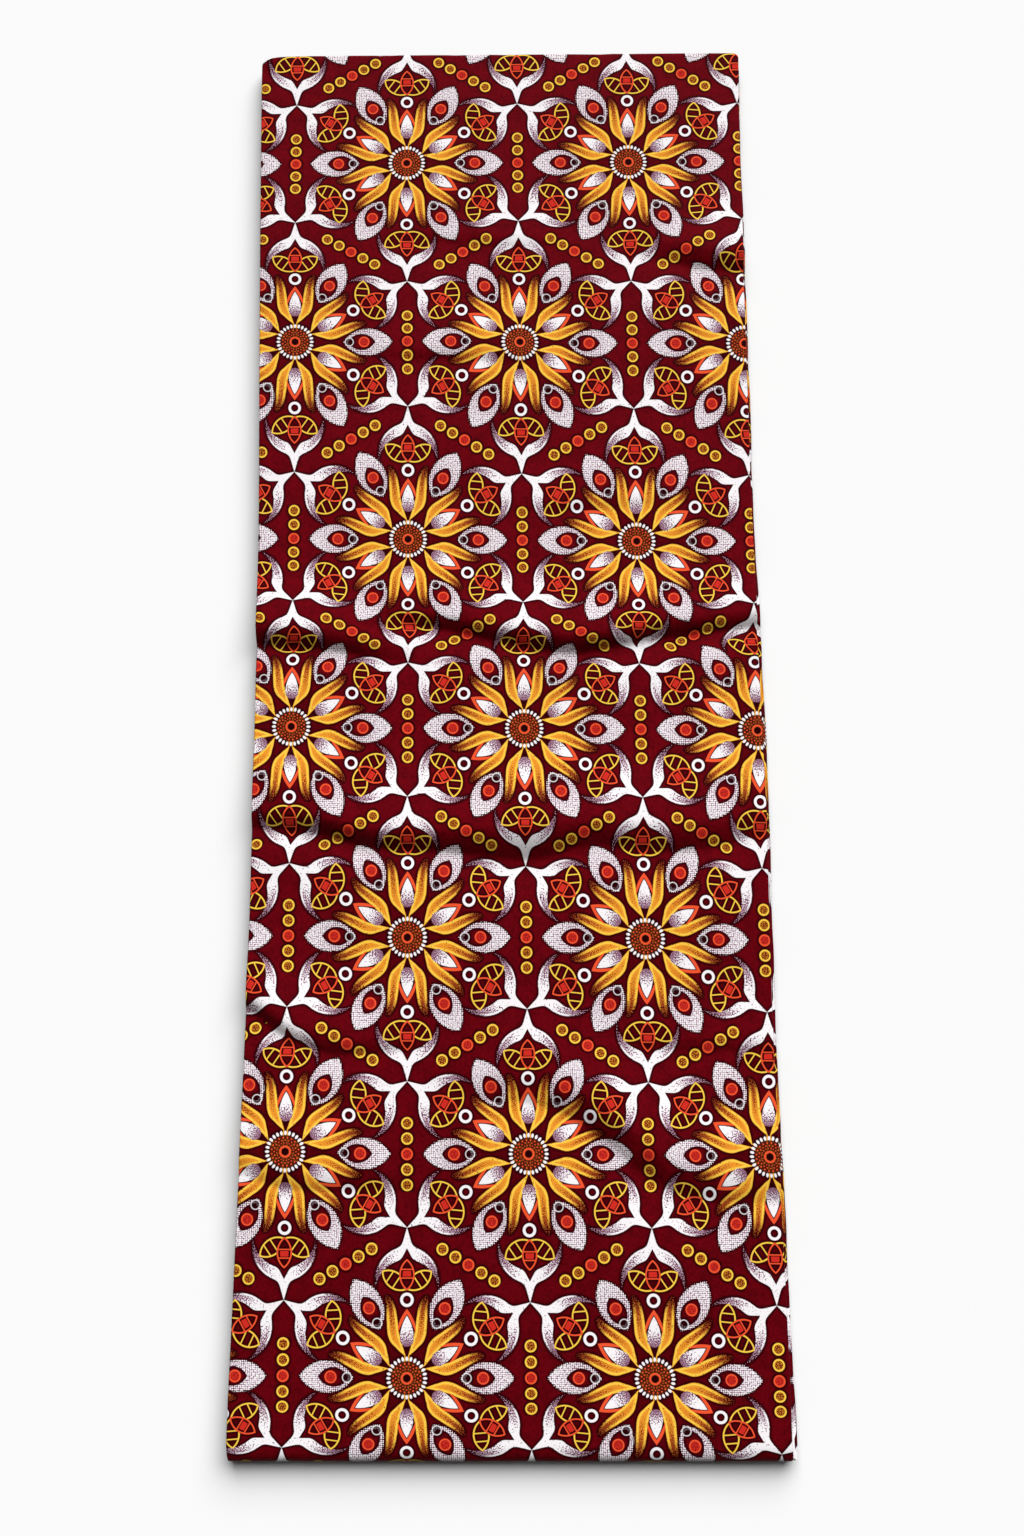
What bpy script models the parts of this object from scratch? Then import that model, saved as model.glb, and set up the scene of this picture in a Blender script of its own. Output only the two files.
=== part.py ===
"""A length of printed cotton, folded in three along its length and in six across, lying flat.

The outer strip lies on top, runs round the near end in one fold and goes back below. The strips
between its two runs share one solid, grooved at the sides and far end where their folds show.
X is across the cloth, +Y runs along it to the far end and +Z is up from the surface it rests on.
Places along the cloth are measured from the far end, where the last folds and the cut end lie.
"""

from collections import namedtuple
from math import cos, exp, pi, sin, sqrt

import bmesh
import bpy

# Driving sizes, in metres
PILE_LENGTH = 0.8465
STRIP_THICKNESS = 0.0022
INNER_STRIPS = 4
INNER_STRIP_THICKNESS = 0.00225
GAP = 0.0003

# Sizes that follow from them
INNER_HEIGHT = INNER_STRIPS * INNER_STRIP_THICKNESS
PILE_HEIGHT = 2 * STRIP_THICKNESS + 2 * GAP + INNER_HEIGHT
FOLD_RADIUS = PILE_HEIGHT / 2
TOP_RUN = PILE_LENGTH - FOLD_RADIUS

# How finely the walls are divided
COLUMNS = 15
COARSE_STEP = 0.0160
FINE_STEP = 0.0060
FOLD_STEPS = 10
UNDER_STEPS = 10
EDGE_ANGLES = (pi / 4, pi / 2, 3 * pi / 4)

# The outer strip's side folds on top, and how far its under run lies outside them
Side = namedtuple("Side", "from_far left right")
TOP_SIDES = (
    Side(0.000, -0.1503, 0.1500),
    Side(0.075, -0.1496, 0.1489),
    Side(0.193, -0.1483, 0.1485),
    Side(0.319, -0.1466, 0.1477),
    Side(0.500, -0.1471, 0.1475),
    Side(0.560, -0.1477, 0.1471),
    Side(0.678, -0.1503, 0.1487),
    Side(0.800, -0.1537, 0.1496),
    Side(0.846, -0.1546, 0.1493),
)
UNDER_LEFT_INSET = 0.0018
UNDER_RIGHT_OUTSET = 0.0016

# The far left corner is turned in, the far right one is only soft
Corner = namedtuple("Corner", "width length")
FAR_LEFT_CORNER = Corner(0.0170, 0.0110)
FAR_RIGHT_CORNER = Corner(0.0030, 0.0030)
CORNER_ROUNDNESS = 1.2
CORNER_DIVISIONS = 3

# The far ends of the outer strip thin out to a soft edge
Taper = namedtuple("Taper", "inwards thickness_share")
END_TAPER = (
    Taper(0.0000, 0.40),
    Taper(0.0006, 0.85),
    Taper(0.0015, 1.00),
)
UNDER_SETBACK = 0.0040

# How far the inner strips reach past the outer strip's right fold, along the pile
Reach = namedtuple("Reach", "from_far outwards")
RIGHT_REACH = (
    Reach(0.000, 0.0004),
    Reach(0.120, 0.0008),
    Reach(0.200, 0.0012),
    Reach(0.319, 0.0026),
    Reach(0.500, 0.0054),
    Reach(0.620, 0.0050),
    Reach(0.846, 0.0058),
)

# Each inner strip's share of that reach, its left inset, its setback at the far end and its wander
Strip = namedtuple("Strip", "right_share left_inset far_setback phase")
STRIPS = (
    Strip(0.62, 0.0022, 0.0042, 0.4),
    Strip(1.00, 0.0006, 0.0016, 2.1),
    Strip(0.84, 0.0016, 0.0030, 3.9),
    Strip(0.46, 0.0009, 0.0012, 5.3),
)
LONG_WANDER = 0.00050
LONG_WANDER_LENGTH = 0.233
SHORT_WANDER = 0.00025
SHORT_WANDER_LENGTH = 0.094
GROOVE_DEPTH = 0.0010
FIRST_INNER_ROW = 0.0060

# One strip's nose in section: height within the strip as a share, and inset as a share of a groove
Nose = namedtuple("Nose", "height inset")
NOSE = (
    Nose(0.00, 1.00),
    Nose(0.24, 0.14),
    Nose(0.76, 0.14),
)

# Creases are ridges with one steep side, which faces the near end. Their knots run from left to right.
Knot = namedtuple("Knot", "across from_far rise")
Crease = namedtuple("Crease", "steep gentle knots")
CREASES = (
    Crease(
        0.0070,
        0.0240,
        (
            Knot(0.085, 0.132, 0.0000),
            Knot(0.115, 0.135, 0.0016),
            Knot(0.150, 0.139, 0.0020),
        ),
    ),
    Crease(
        0.0090,
        0.0260,
        (
            Knot(-0.090, 0.196, 0.0000),
            Knot(-0.045, 0.199, 0.0007),
            Knot(0.040, 0.202, 0.0000),
        ),
    ),
    Crease(
        0.0070,
        0.0220,
        (
            Knot(-0.156, 0.374, 0.0028),
            Knot(-0.103, 0.378, 0.0026),
            Knot(-0.077, 0.383, 0.0014),
            Knot(-0.048, 0.390, 0.0000),
        ),
    ),
    Crease(
        0.0075,
        0.0200,
        (
            Knot(-0.092, 0.366, 0.0000),
            Knot(-0.044, 0.367, 0.0018),
            Knot(0.009, 0.378, 0.0026),
            Knot(0.041, 0.382, 0.0030),
            Knot(0.097, 0.373, 0.0028),
            Knot(0.156, 0.365, 0.0018),
        ),
    ),
    Crease(
        0.0090,
        0.0280,
        (
            Knot(-0.156, 0.482, 0.0012),
            Knot(-0.108, 0.490, 0.0030),
            Knot(-0.039, 0.499, 0.0030),
            Knot(0.013, 0.503, 0.0042),
            Knot(0.054, 0.496, 0.0030),
            Knot(0.111, 0.497, 0.0026),
            Knot(0.156, 0.488, 0.0012),
        ),
    ),
    Crease(
        0.0080,
        0.0230,
        (
            Knot(-0.158, 0.590, 0.0018),
            Knot(-0.132, 0.604, 0.0024),
            Knot(-0.100, 0.617, 0.0014),
            Knot(-0.045, 0.614, 0.0000),
        ),
    ),
    Crease(
        0.0085,
        0.0260,
        (
            Knot(-0.035, 0.640, 0.0000),
            Knot(0.029, 0.643, 0.0018),
            Knot(0.055, 0.660, 0.0028),
            Knot(0.087, 0.685, 0.0024),
            Knot(0.120, 0.691, 0.0016),
            Knot(0.158, 0.690, 0.0008),
        ),
    ),
    Crease(
        0.0110,
        0.0300,
        (
            Knot(-0.158, 0.676, 0.0008),
            Knot(-0.120, 0.690, 0.0014),
            Knot(-0.040, 0.692, 0.0000),
        ),
    ),
)
CREASE_REACH = 2.4

# Both materials are the cloth's dark ground
MAROON = (0.098, 0.002, 0.011, 1.0)
MAROON_IN_FOLDS = (0.070, 0.002, 0.009, 1.0)
ROUGHNESS = 0.72


def clear_scene():
    """Remove every object, so that only the cloth is left."""
    for thing in list(bpy.data.objects):
        bpy.data.objects.remove(thing, do_unlink=True)


def cotton(name, color):
    """A matt material in one colour."""
    material = bpy.data.materials.new(name)
    material.use_nodes = True
    surface = material.node_tree.nodes["Principled BSDF"]
    surface.inputs["Base Color"].default_value = color
    surface.inputs["Roughness"].default_value = ROUGHNESS
    surface.inputs["Metallic"].default_value = 0.0
    return material


def read_off(rows, key, column, place):
    """The value of a column at a place along the key column, on a smooth curve through the rows."""
    places = [getattr(row, key) for row in rows]
    values = [getattr(row, column) for row in rows]
    if place <= places[0]:
        return values[0]
    if place >= places[-1]:
        return values[-1]
    last = len(rows) - 1
    i = max(n for n in range(last) if places[n] <= place)
    before = max(i - 1, 0)
    after = min(i + 2, last)
    length = places[i + 1] - places[i]
    slope_here = (values[i + 1] - values[before]) / (places[i + 1] - places[before])
    slope_next = (values[after] - values[i]) / (places[after] - places[i])
    t = (place - places[i]) / length
    return (
        values[i] * (1 + 2 * t) * (1 - t) ** 2
        + values[i + 1] * t * t * (3 - 2 * t)
        + slope_here * length * t * (1 - t) ** 2
        - slope_next * length * t * t * (1 - t)
    )


def relief(across, from_far):
    """Height of the creases over the flat cloth."""
    height = 0.0
    for crease in CREASES:
        if not crease.knots[0].across < across < crease.knots[-1].across:
            continue
        rise = max(read_off(crease.knots, "across", "rise", across), 0.0)
        nearer = from_far - read_off(crease.knots, "across", "from_far", across)
        width = crease.steep if nearer > 0 else crease.gentle
        height = max(height, rise * exp(-((nearer / width) ** 2)))
    return height


def near_a_crease(from_far):
    """Whether a crease rises or falls at this distance from the far end."""
    return any(
        min(knot.from_far for knot in crease.knots) - crease.steep
        < from_far
        < max(knot.from_far for knot in crease.knots) + CREASE_REACH * crease.steep
        for crease in CREASES
    )


def stations_along_top():
    """Distances from the far end at which the top is divided, closer together at the creases."""
    places = [taper.inwards for taper in END_TAPER]
    corner_step = FAR_LEFT_CORNER.length / CORNER_DIVISIONS
    places += [corner_step * (n + 1) for n in range(CORNER_DIVISIONS)]
    place = places[-1]
    while place < TOP_RUN:
        place += FINE_STEP if near_a_crease(place) else COARSE_STEP
        places.append(place)
    return [place for place in places if place < TOP_RUN - FINE_STEP / 2] + [TOP_RUN]


def corner_cut(corner, from_far):
    """How far a far corner is turned in at this distance from the far end."""
    return corner.width * max(0.0, 1 - from_far / corner.length) ** CORNER_ROUNDNESS


def top_sides(from_far):
    """Places of the outer strip's left and right folds on top."""
    left = read_off(TOP_SIDES, "from_far", "left", from_far)
    right = read_off(TOP_SIDES, "from_far", "right", from_far)
    return (
        left + corner_cut(FAR_LEFT_CORNER, from_far),
        right - corner_cut(FAR_RIGHT_CORNER, from_far),
    )


def columns_across(left, right, thickness):
    """Places across, at which a strip's flat faces are divided between its rounded folds."""
    first = left + thickness / 2
    last = right - thickness / 2
    return [first + (last - first) * n / (COLUMNS - 1) for n in range(COLUMNS)]


def strip_section(left, right, thickness, centre, outwards, lift):
    """One closed section of the outer strip, which starts along its outer face from left to right."""
    radius = thickness / 2
    columns = columns_across(left, right, thickness)
    y, z = centre
    out_y, out_z = outwards

    def point(across, offset, column):
        return (across, y + out_y * offset, z + out_z * offset + lift(column))

    outer = [point(x, radius, x) for x in columns]
    right_fold = [
        point(columns[-1] + radius * sin(angle), radius * cos(angle), columns[-1])
        for angle in EDGE_ANGLES
    ]
    inner = [point(x, -radius, x) for x in reversed(columns)]
    left_fold = [
        point(columns[0] - radius * sin(angle), -radius * cos(angle), columns[0])
        for angle in EDGE_ANGLES
    ]
    return outer + right_fold + inner + left_fold


def outer_strip_sections():
    """Sections from the far end of the top run, round the near end, to the far end of the under run."""
    far = PILE_LENGTH / 2
    sections = []
    for from_far in stations_along_top():
        share = read_off(END_TAPER, "inwards", "thickness_share", from_far)
        thickness = STRIP_THICKNESS * share
        left, right = top_sides(from_far)
        centre = (far - from_far, PILE_HEIGHT - STRIP_THICKNESS / 2)
        sections.append(
            strip_section(
                left, right, thickness, centre, (0, 1), lambda x, d=from_far: relief(x, d)
            )
        )
    fold_middle = far - TOP_RUN
    centre_radius = FOLD_RADIUS - STRIP_THICKNESS / 2
    top_left, top_right = top_sides(TOP_RUN)
    for step in range(1, FOLD_STEPS):
        angle = pi * step / FOLD_STEPS
        centre = (
            fold_middle - centre_radius * sin(angle),
            FOLD_RADIUS + centre_radius * cos(angle),
        )
        under_share = step / FOLD_STEPS
        left = top_left + UNDER_LEFT_INSET * under_share
        right = top_right + UNDER_RIGHT_OUTSET * under_share
        outwards = (-sin(angle), cos(angle))
        sections.append(
            strip_section(left, right, STRIP_THICKNESS, centre, outwards, lambda x: 0.0)
        )
    under_run = TOP_RUN - UNDER_SETBACK
    places = [TOP_RUN - under_run * n / UNDER_STEPS for n in range(UNDER_STEPS)]
    places += [UNDER_SETBACK + taper.inwards for taper in reversed(END_TAPER)]
    for from_far in places:
        share = read_off(END_TAPER, "inwards", "thickness_share", from_far - UNDER_SETBACK)
        left, right = top_sides(from_far)
        sections.append(
            strip_section(
                left + UNDER_LEFT_INSET,
                right + UNDER_RIGHT_OUTSET,
                STRIP_THICKNESS * share,
                (far - from_far, STRIP_THICKNESS * share / 2),
                (0, -1),
                lambda x: 0.0,
            )
        )
    return sections


def split_cell(mesh, corners):
    """Two triangles over a four-cornered cell, always split along the same direction across the cloth.

    Faces that lie one above another then stay parallel where the creases twist them."""
    a, b, c, d = corners
    if (c.co.x - a.co.x) * (c.co.y - a.co.y) < 0:
        mesh.faces.new((a, b, c))
        mesh.faces.new((a, c, d))
    else:
        mesh.faces.new((a, b, d))
        mesh.faces.new((b, c, d))


def join_rings(mesh, rings):
    """Walls between each ring of points and the next."""
    for ring, following in zip(rings, rings[1:]):
        for n in range(len(ring)):
            m = (n + 1) % len(ring)
            split_cell(mesh, (ring[n], ring[m], following[m], following[n]))


def new_points(mesh, ring):
    """Mesh vertices at each place in a ring."""
    return [mesh.verts.new(place) for place in ring]


def finished(name, mesh, material):
    """The mesh as a smooth-shaded object, with its faces pointing outwards."""
    bmesh.ops.recalc_face_normals(mesh, faces=mesh.faces)
    data = bpy.data.meshes.new(name)
    mesh.to_mesh(data)
    mesh.free()
    data.materials.append(material)
    data.shade_smooth()
    data.set_sharp_from_angle(angle=pi / 3)
    thing = bpy.data.objects.new(name, data)
    bpy.context.scene.collection.objects.link(thing)
    return thing


def make_outer_strip():
    """The strip that wraps the pile: top run, near fold and under run in one wall."""
    mesh = bmesh.new()
    rings = [new_points(mesh, section) for section in outer_strip_sections()]
    join_rings(mesh, rings)
    mesh.faces.new(rings[0])
    mesh.faces.new(rings[-1])
    bmesh.ops.triangulate(mesh, faces=[face for face in mesh.faces if len(face.verts) > 4])
    return finished("outer_strip", mesh, cotton("printed cotton, outer", MAROON))


def wander(phase, from_far):
    """How far a fold strays sideways along the pile."""
    long_wave = LONG_WANDER * sin(2 * pi * from_far / LONG_WANDER_LENGTH + phase)
    short_wave = SHORT_WANDER * sin(2 * pi * from_far / SHORT_WANDER_LENGTH + 2 * phase)
    return long_wave + short_wave


def inner_sides(strip, from_far):
    """Places of an inner strip's left and right folds."""
    left, right = top_sides(from_far)
    stray = wander(strip.phase, from_far)
    reach = read_off(RIGHT_REACH, "from_far", "outwards", from_far)
    return left + strip.left_inset + stray, right + strip.right_share * reach + stray


def lift_of_columns(across, from_far):
    """The creases' height as the outer strip's wall has it, in straight runs between its columns."""
    left, right = top_sides(from_far)
    columns = columns_across(left, right, STRIP_THICKNESS)
    across = min(max(across, columns[0]), columns[-1])
    pitch = (columns[-1] - columns[0]) / (COLUMNS - 1)
    n = min(int((across - columns[0]) / pitch), COLUMNS - 2)
    t = (across - columns[n]) / pitch
    return relief(columns[n], from_far) * (1 - t) + relief(columns[n + 1], from_far) * t


def inner_rows(strip, inset, height):
    """Rows of points over the inner strips at one height, from the far end to the near fold.

    A row runs across between the strip's side folds. Only the rim of these rows is used, but at the top."""
    far = PILE_LENGTH / 2
    height_share = height / INNER_HEIGHT
    level = STRIP_THICKNESS + GAP + height
    fold_inside = FOLD_RADIUS - STRIP_THICKNESS - GAP
    from_middle = level - FOLD_RADIUS
    near_reach = sqrt(max(fold_inside**2 - from_middle**2, 0.0))
    far_row = strip.far_setback + inset
    places = [far_row] + [d for d in stations_along_top() if d > FIRST_INNER_ROW]
    rows = []
    for from_far in places:
        left, right = inner_sides(strip, from_far)
        own_columns = columns_across(*top_sides(from_far), STRIP_THICKNESS)[1:-1]
        y = far - from_far - (near_reach if from_far == places[-1] else 0.0)
        rows.append(
            [
                (x, y, level + height_share * lift_of_columns(x, from_far))
                for x in [left + inset, *own_columns, right - inset]
            ]
        )
    return rows


def rim_of(rows):
    """The rows' outermost points as one ring."""
    right = [row[-1] for row in rows[1:-1]]
    left = [row[0] for row in rows[1:-1]]
    return rows[0] + right + rows[-1][::-1] + left[::-1]


def make_inner_strips():
    """The hidden strips as one solid, with a groove between each fold and the next."""
    levels = [
        (strip, nose.inset * GROOVE_DEPTH, (n + nose.height) * INNER_STRIP_THICKNESS)
        for n, strip in enumerate(STRIPS)
        for nose in NOSE
    ]
    levels.append((STRIPS[-1], GROOVE_DEPTH, INNER_HEIGHT))
    mesh = bmesh.new()
    rings = [new_points(mesh, rim_of(inner_rows(*level))) for level in levels[:-1]]
    top_rows = [new_points(mesh, row) for row in inner_rows(*levels[-1])]
    rings.append(rim_of(top_rows))
    join_rings(mesh, rings)
    for row, following in zip(top_rows, top_rows[1:]):
        for n in range(len(row) - 1):
            split_cell(mesh, (row[n], row[n + 1], following[n + 1], following[n]))
    bottom = mesh.faces.new(rings[0])
    bmesh.ops.triangulate(mesh, faces=[bottom])
    return finished("inner_strips", mesh, cotton("printed cotton, inner", MAROON_IN_FOLDS))


def centre_on_origin(things):
    """Shift the meshes so that the origin is in the middle of the underside."""
    places = [vertex.co for thing in things for vertex in thing.data.vertices]
    middle_x = (min(p.x for p in places) + max(p.x for p in places)) / 2
    middle_y = (min(p.y for p in places) + max(p.y for p in places)) / 2
    for place in places:
        place.x -= middle_x
        place.y -= middle_y


def main():
    clear_scene()
    centre_on_origin([make_outer_strip(), make_inner_strips()])


main()
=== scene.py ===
"""A folded length of printed shweshwe cotton, lying flat on a pale table under soft light.

The outer strip of the pile is dressed as two thin shells: the top strip, which runs over the pile
and round its near end, and the under strip, which goes back below. The folds that show between them
share one piece. The print is drawn by shader nodes in the cloth's own measure, so it follows every
crease. Lengths are in metres, and X is across the cloth, +Y along it to the far end and +Z up from
the table.
"""

from collections import namedtuple
from math import pi, radians, sqrt

import bpy
import numpy as np
from bpy.props import FloatProperty, FloatVectorProperty, PointerProperty
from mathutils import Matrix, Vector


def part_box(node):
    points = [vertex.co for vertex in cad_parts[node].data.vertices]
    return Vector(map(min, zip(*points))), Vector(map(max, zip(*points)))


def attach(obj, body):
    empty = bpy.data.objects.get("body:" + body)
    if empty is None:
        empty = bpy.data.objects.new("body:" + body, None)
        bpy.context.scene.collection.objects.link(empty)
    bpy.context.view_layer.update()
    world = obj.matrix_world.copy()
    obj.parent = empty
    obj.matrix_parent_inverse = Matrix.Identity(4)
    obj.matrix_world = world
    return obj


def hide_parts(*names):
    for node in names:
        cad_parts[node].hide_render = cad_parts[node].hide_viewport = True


bl_info = {
    "name": "Folded Printed Cotton",
    "version": (1, 0, 0),
    "blender": (4, 5, 0),
    "location": "3D View > Sidebar > Cloth",
    "description": "Builds a folded length of printed shweshwe cotton lying on a pale table",
    "category": "Object",
}

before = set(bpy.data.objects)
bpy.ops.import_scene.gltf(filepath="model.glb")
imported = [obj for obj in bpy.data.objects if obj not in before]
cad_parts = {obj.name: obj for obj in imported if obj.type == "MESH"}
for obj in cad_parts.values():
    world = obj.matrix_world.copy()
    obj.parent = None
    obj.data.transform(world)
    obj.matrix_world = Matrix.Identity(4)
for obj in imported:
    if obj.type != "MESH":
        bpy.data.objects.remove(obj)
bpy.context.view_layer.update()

OUTER_LOW, OUTER_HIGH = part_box("outer_strip")

# Sizes of the pile, as the solids have them, and of the strip of cloth that a piece shows
FAR_END = OUTER_HIGH.y
STRIP_THICKNESS = 0.0022
INNER_STRIP_THICKNESS = 0.00225
GAP = 0.0003
PILE_HEIGHT = 0.0140
NEAR_ROLL = 0.0120
TOP_RUN = FAR_END - OUTER_LOW.y - NEAR_ROLL
UNDER_SETBACK = 0.0040

# The near end swells a little, and beyond the straight run the top strip turns down over it: how
# far out the middle of its thickness comes, and how square the fold is above and below its widest
# level
NEAR_SWELL = 0.0010
NEAR_SWELL_REACH = 0.070
NEAR_FOLD_DEPTH = 0.0096
NEAR_FOLD_SQUARENESS = (3.0, 2.2)

# The near fold reaches further out on the right than on the left, by this share to each side. The
# inner strips stay this far inside the middle of its thickness, but come out at least so far, and
# they reach a little further where they show at the near right corner.
NEAR_SKEW = 0.115
NEAR_FOLD_ROOM = 0.00145
NEAR_FOLD_LEAST = 0.0004
NEAR_CORNER_REACH = 0.0022

# The outer strip's left and right folds at distances from the far end
LEFT_FOLD = (
    (0.000, -0.1503),
    (0.075, -0.1496),
    (0.193, -0.1483),
    (0.319, -0.1466),
    (0.500, -0.1471),
    (0.560, -0.1477),
    (0.678, -0.1503),
    (0.800, -0.1537),
    (0.846, -0.1546),
)
RIGHT_FOLD = (
    (0.000, 0.1495),
    (0.075, 0.1484),
    (0.193, 0.1480),
    (0.319, 0.1482),
    (0.500, 0.1503),
    (0.560, 0.1499),
    (0.620, 0.1499),
    (0.678, 0.1507),
    (0.800, 0.1523),
    (0.846, 0.1522),
)

# Both folds are moved so that the left one ends where the solid does. The under strip lies inside
# that one and outside the other.
LEFT_SHIFT = OUTER_LOW.x - LEFT_FOLD[-1][1]
UNDER_LEFT_INSET = 0.0018
UNDER_RIGHT_OUTSET = 0.0016

# The far left corner is turned in and droops, the far right one is only soft: width and length
FAR_LEFT_CORNER = (0.0155, 0.0045)
FAR_RIGHT_CORNER = (0.0030, 0.0030)
CORNER_ROUNDNESS = 2.4
CORNER_CLEARANCE = 0.0012
CORNER_DROOP = 0.0022
CORNER_DROOP_REACH = (0.0050, 0.0160)

# The cut ends thin out to a soft edge: distance inwards and share of the thickness. The top one
# wanders in two waves, each with its share, its radians to the metre and its start.
END_TAPER = ((0.0, 0.40), (0.0006, 0.85), (0.0015, 1.0))
END_STATIONS = (
    0.0, 0.0002, 0.0005, 0.0009, 0.0015, 0.0024, 0.0037, 0.0055, 0.0074, 0.0093, 0.0112
)
END_WAVE = 0.0004
END_WAVES = ((1.0, 71.0, 0.7), (0.6, 163.0, 2.0))
END_WAVE_REACH = 0.020

# Creases: each has a gentle side behind and a brow that curls down towards the near end, more and
# more steeply, to a shallow dip. Its knots hold the place across, the brow's distance from the far
# end, its rise, and how far nearer the dip lies. The dip's width is a share of that last distance.
Crease = namedtuple("Crease", "gentle dip curl knots")
DIP_WIDTH = 1.1
KINK_SOFTNESS = 0.10
TOP_CREASES = (
    Crease(0.0240, 0.40, 1.7, (
        (0.074, 0.129, 0.0000, 0.0100),
        (0.100, 0.130, 0.0022, 0.0110),
        (0.120, 0.134, 0.0044, 0.0125),
        (0.151, 0.136, 0.0046, 0.0125),
    )),
    Crease(0.0150, 0.20, 1.8, (
        (-0.080, 0.120, 0.0000, 0.0080),
        (-0.035, 0.121, 0.0010, 0.0080),
        (0.010, 0.124, 0.0013, 0.0080),
        (0.045, 0.122, 0.0000, 0.0080),
    )),
    Crease(0.0260, 0.25, 1.8, (
        (-0.095, 0.194, 0.0000, 0.0090),
        (-0.045, 0.197, 0.0018, 0.0090),
        (-0.010, 0.198, 0.0015, 0.0090),
        (0.040, 0.202, 0.0000, 0.0090),
    )),
    Crease(0.0180, 0.20, 1.8, (
        (-0.020, 0.296, 0.0000, 0.0080),
        (0.040, 0.295, 0.0013, 0.0080),
        (0.125, 0.290, 0.0000, 0.0080),
    )),
    Crease(0.0240, 0.45, 2.0, (
        (-0.158, 0.3725, 0.0060, 0.0110),
        (-0.103, 0.3775, 0.0058, 0.0104),
        (-0.077, 0.3830, 0.0028, 0.0095),
        (-0.048, 0.3880, 0.0000, 0.0090),
    )),
    Crease(0.0220, 0.45, 2.0, (
        (-0.092, 0.364, 0.0000, 0.0090),
        (-0.044, 0.366, 0.0038, 0.0085),
        (0.009, 0.377, 0.0056, 0.0092),
        (0.041, 0.381, 0.0066, 0.0095),
        (0.068, 0.377, 0.0066, 0.0095),
        (0.097, 0.372, 0.0057, 0.0095),
        (0.158, 0.365, 0.0036, 0.0095),
    )),
    Crease(0.0300, 0.40, 1.7, (
        (-0.158, 0.484, 0.0020, 0.0095),
        (-0.134, 0.486, 0.0048, 0.0094),
        (-0.108, 0.489, 0.0062, 0.0096),
        (-0.079, 0.496, 0.0062, 0.0099),
        (-0.039, 0.497, 0.0060, 0.0116),
        (0.013, 0.495, 0.0084, 0.0190),
        (0.048, 0.492, 0.0060, 0.0140),
        (0.077, 0.493, 0.0058, 0.0160),
        (0.111, 0.494, 0.0050, 0.0150),
        (0.158, 0.486, 0.0020, 0.0110),
    )),
    Crease(0.0230, 0.35, 2.0, (
        (-0.160, 0.586, 0.0030, 0.0095),
        (-0.146, 0.591, 0.0044, 0.0090),
        (-0.125, 0.606, 0.0044, 0.0092),
        (-0.098, 0.615, 0.0032, 0.0095),
        (-0.060, 0.614, 0.0015, 0.0090),
        (-0.035, 0.612, 0.0000, 0.0085),
    )),
    Crease(0.0180, 0.20, 1.8, (
        (0.035, 0.614, 0.0000, 0.0085),
        (0.095, 0.616, 0.0018, 0.0085),
        (0.158, 0.618, 0.0014, 0.0085),
    )),
    Crease(0.0300, 0.35, 1.6, (
        (-0.050, 0.634, 0.0000, 0.0130),
        (-0.010, 0.637, 0.0016, 0.0135),
        (0.022, 0.641, 0.0036, 0.0150),
        (0.044, 0.650, 0.0050, 0.0170),
        (0.066, 0.666, 0.0056, 0.0190),
        (0.088, 0.682, 0.0054, 0.0190),
        (0.117, 0.691, 0.0038, 0.0170),
        (0.160, 0.693, 0.0016, 0.0150),
    )),
    Crease(0.0300, 0.20, 1.8, (
        (-0.160, 0.674, 0.0018, 0.0120),
        (-0.125, 0.688, 0.0030, 0.0110),
        (-0.072, 0.689, 0.0018, 0.0110),
        (-0.035, 0.692, 0.0000, 0.0110),
    )),
)

# Troughs pressed into the underside, which otherwise rests flat
UNDER_CREASES = (
    Crease(0.0120, 0.0, 1.8, (
        (-0.160, 0.216, 0.0005, 0.0070),
        (-0.060, 0.221, 0.0008, 0.0060),
        (0.050, 0.214, 0.0000, 0.0070),
    )),
    Crease(0.0100, 0.0, 1.8, (
        (-0.020, 0.398, 0.0000, 0.0060),
        (0.060, 0.391, 0.0009, 0.0060),
        (0.160, 0.402, 0.0007, 0.0070),
    )),
    Crease(0.0140, 0.0, 1.8, (
        (-0.160, 0.523, 0.0006, 0.0070),
        (-0.020, 0.514, 0.0009, 0.0065),
        (0.110, 0.526, 0.0000, 0.0070),
    )),
    Crease(0.0110, 0.0, 1.8, (
        (-0.070, 0.662, 0.0000, 0.0060),
        (0.040, 0.676, 0.0007, 0.0065),
        (0.160, 0.694, 0.0004, 0.0070),
    )),
)

# Broad unevenness of the top: height, wave length across, wave length along, and start of the wave
Swell = namedtuple("Swell", "height across along start")
SWELLS = (
    Swell(0.00022, 0.310, 0.190, 0.6),
    Swell(0.00016, -0.170, 0.118, 2.4),
    Swell(0.00010, 0.096, -0.083, 4.1),
    Swell(0.00006, -0.061, 0.047, 1.3),
)
SWELL_FADE = 0.030

# Half of a strip's side in section: two layers meet in a fold, above the edge of the third layer.
# Each row holds how far it stands out, as a share of half the thickness, and its height share.
FOLD_ABOVE_EDGE = (
    (0.34, 0.480),
    (0.66, 0.400),
    (0.90, 0.270),
    (1.00, 0.110),
    (0.94, -0.040),
    (0.72, -0.130),
    (0.44, -0.170),
    (0.40, -0.230),
    (0.62, -0.290),
    (0.70, -0.370),
    (0.56, -0.450),
    (0.26, -0.500),
)

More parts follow.
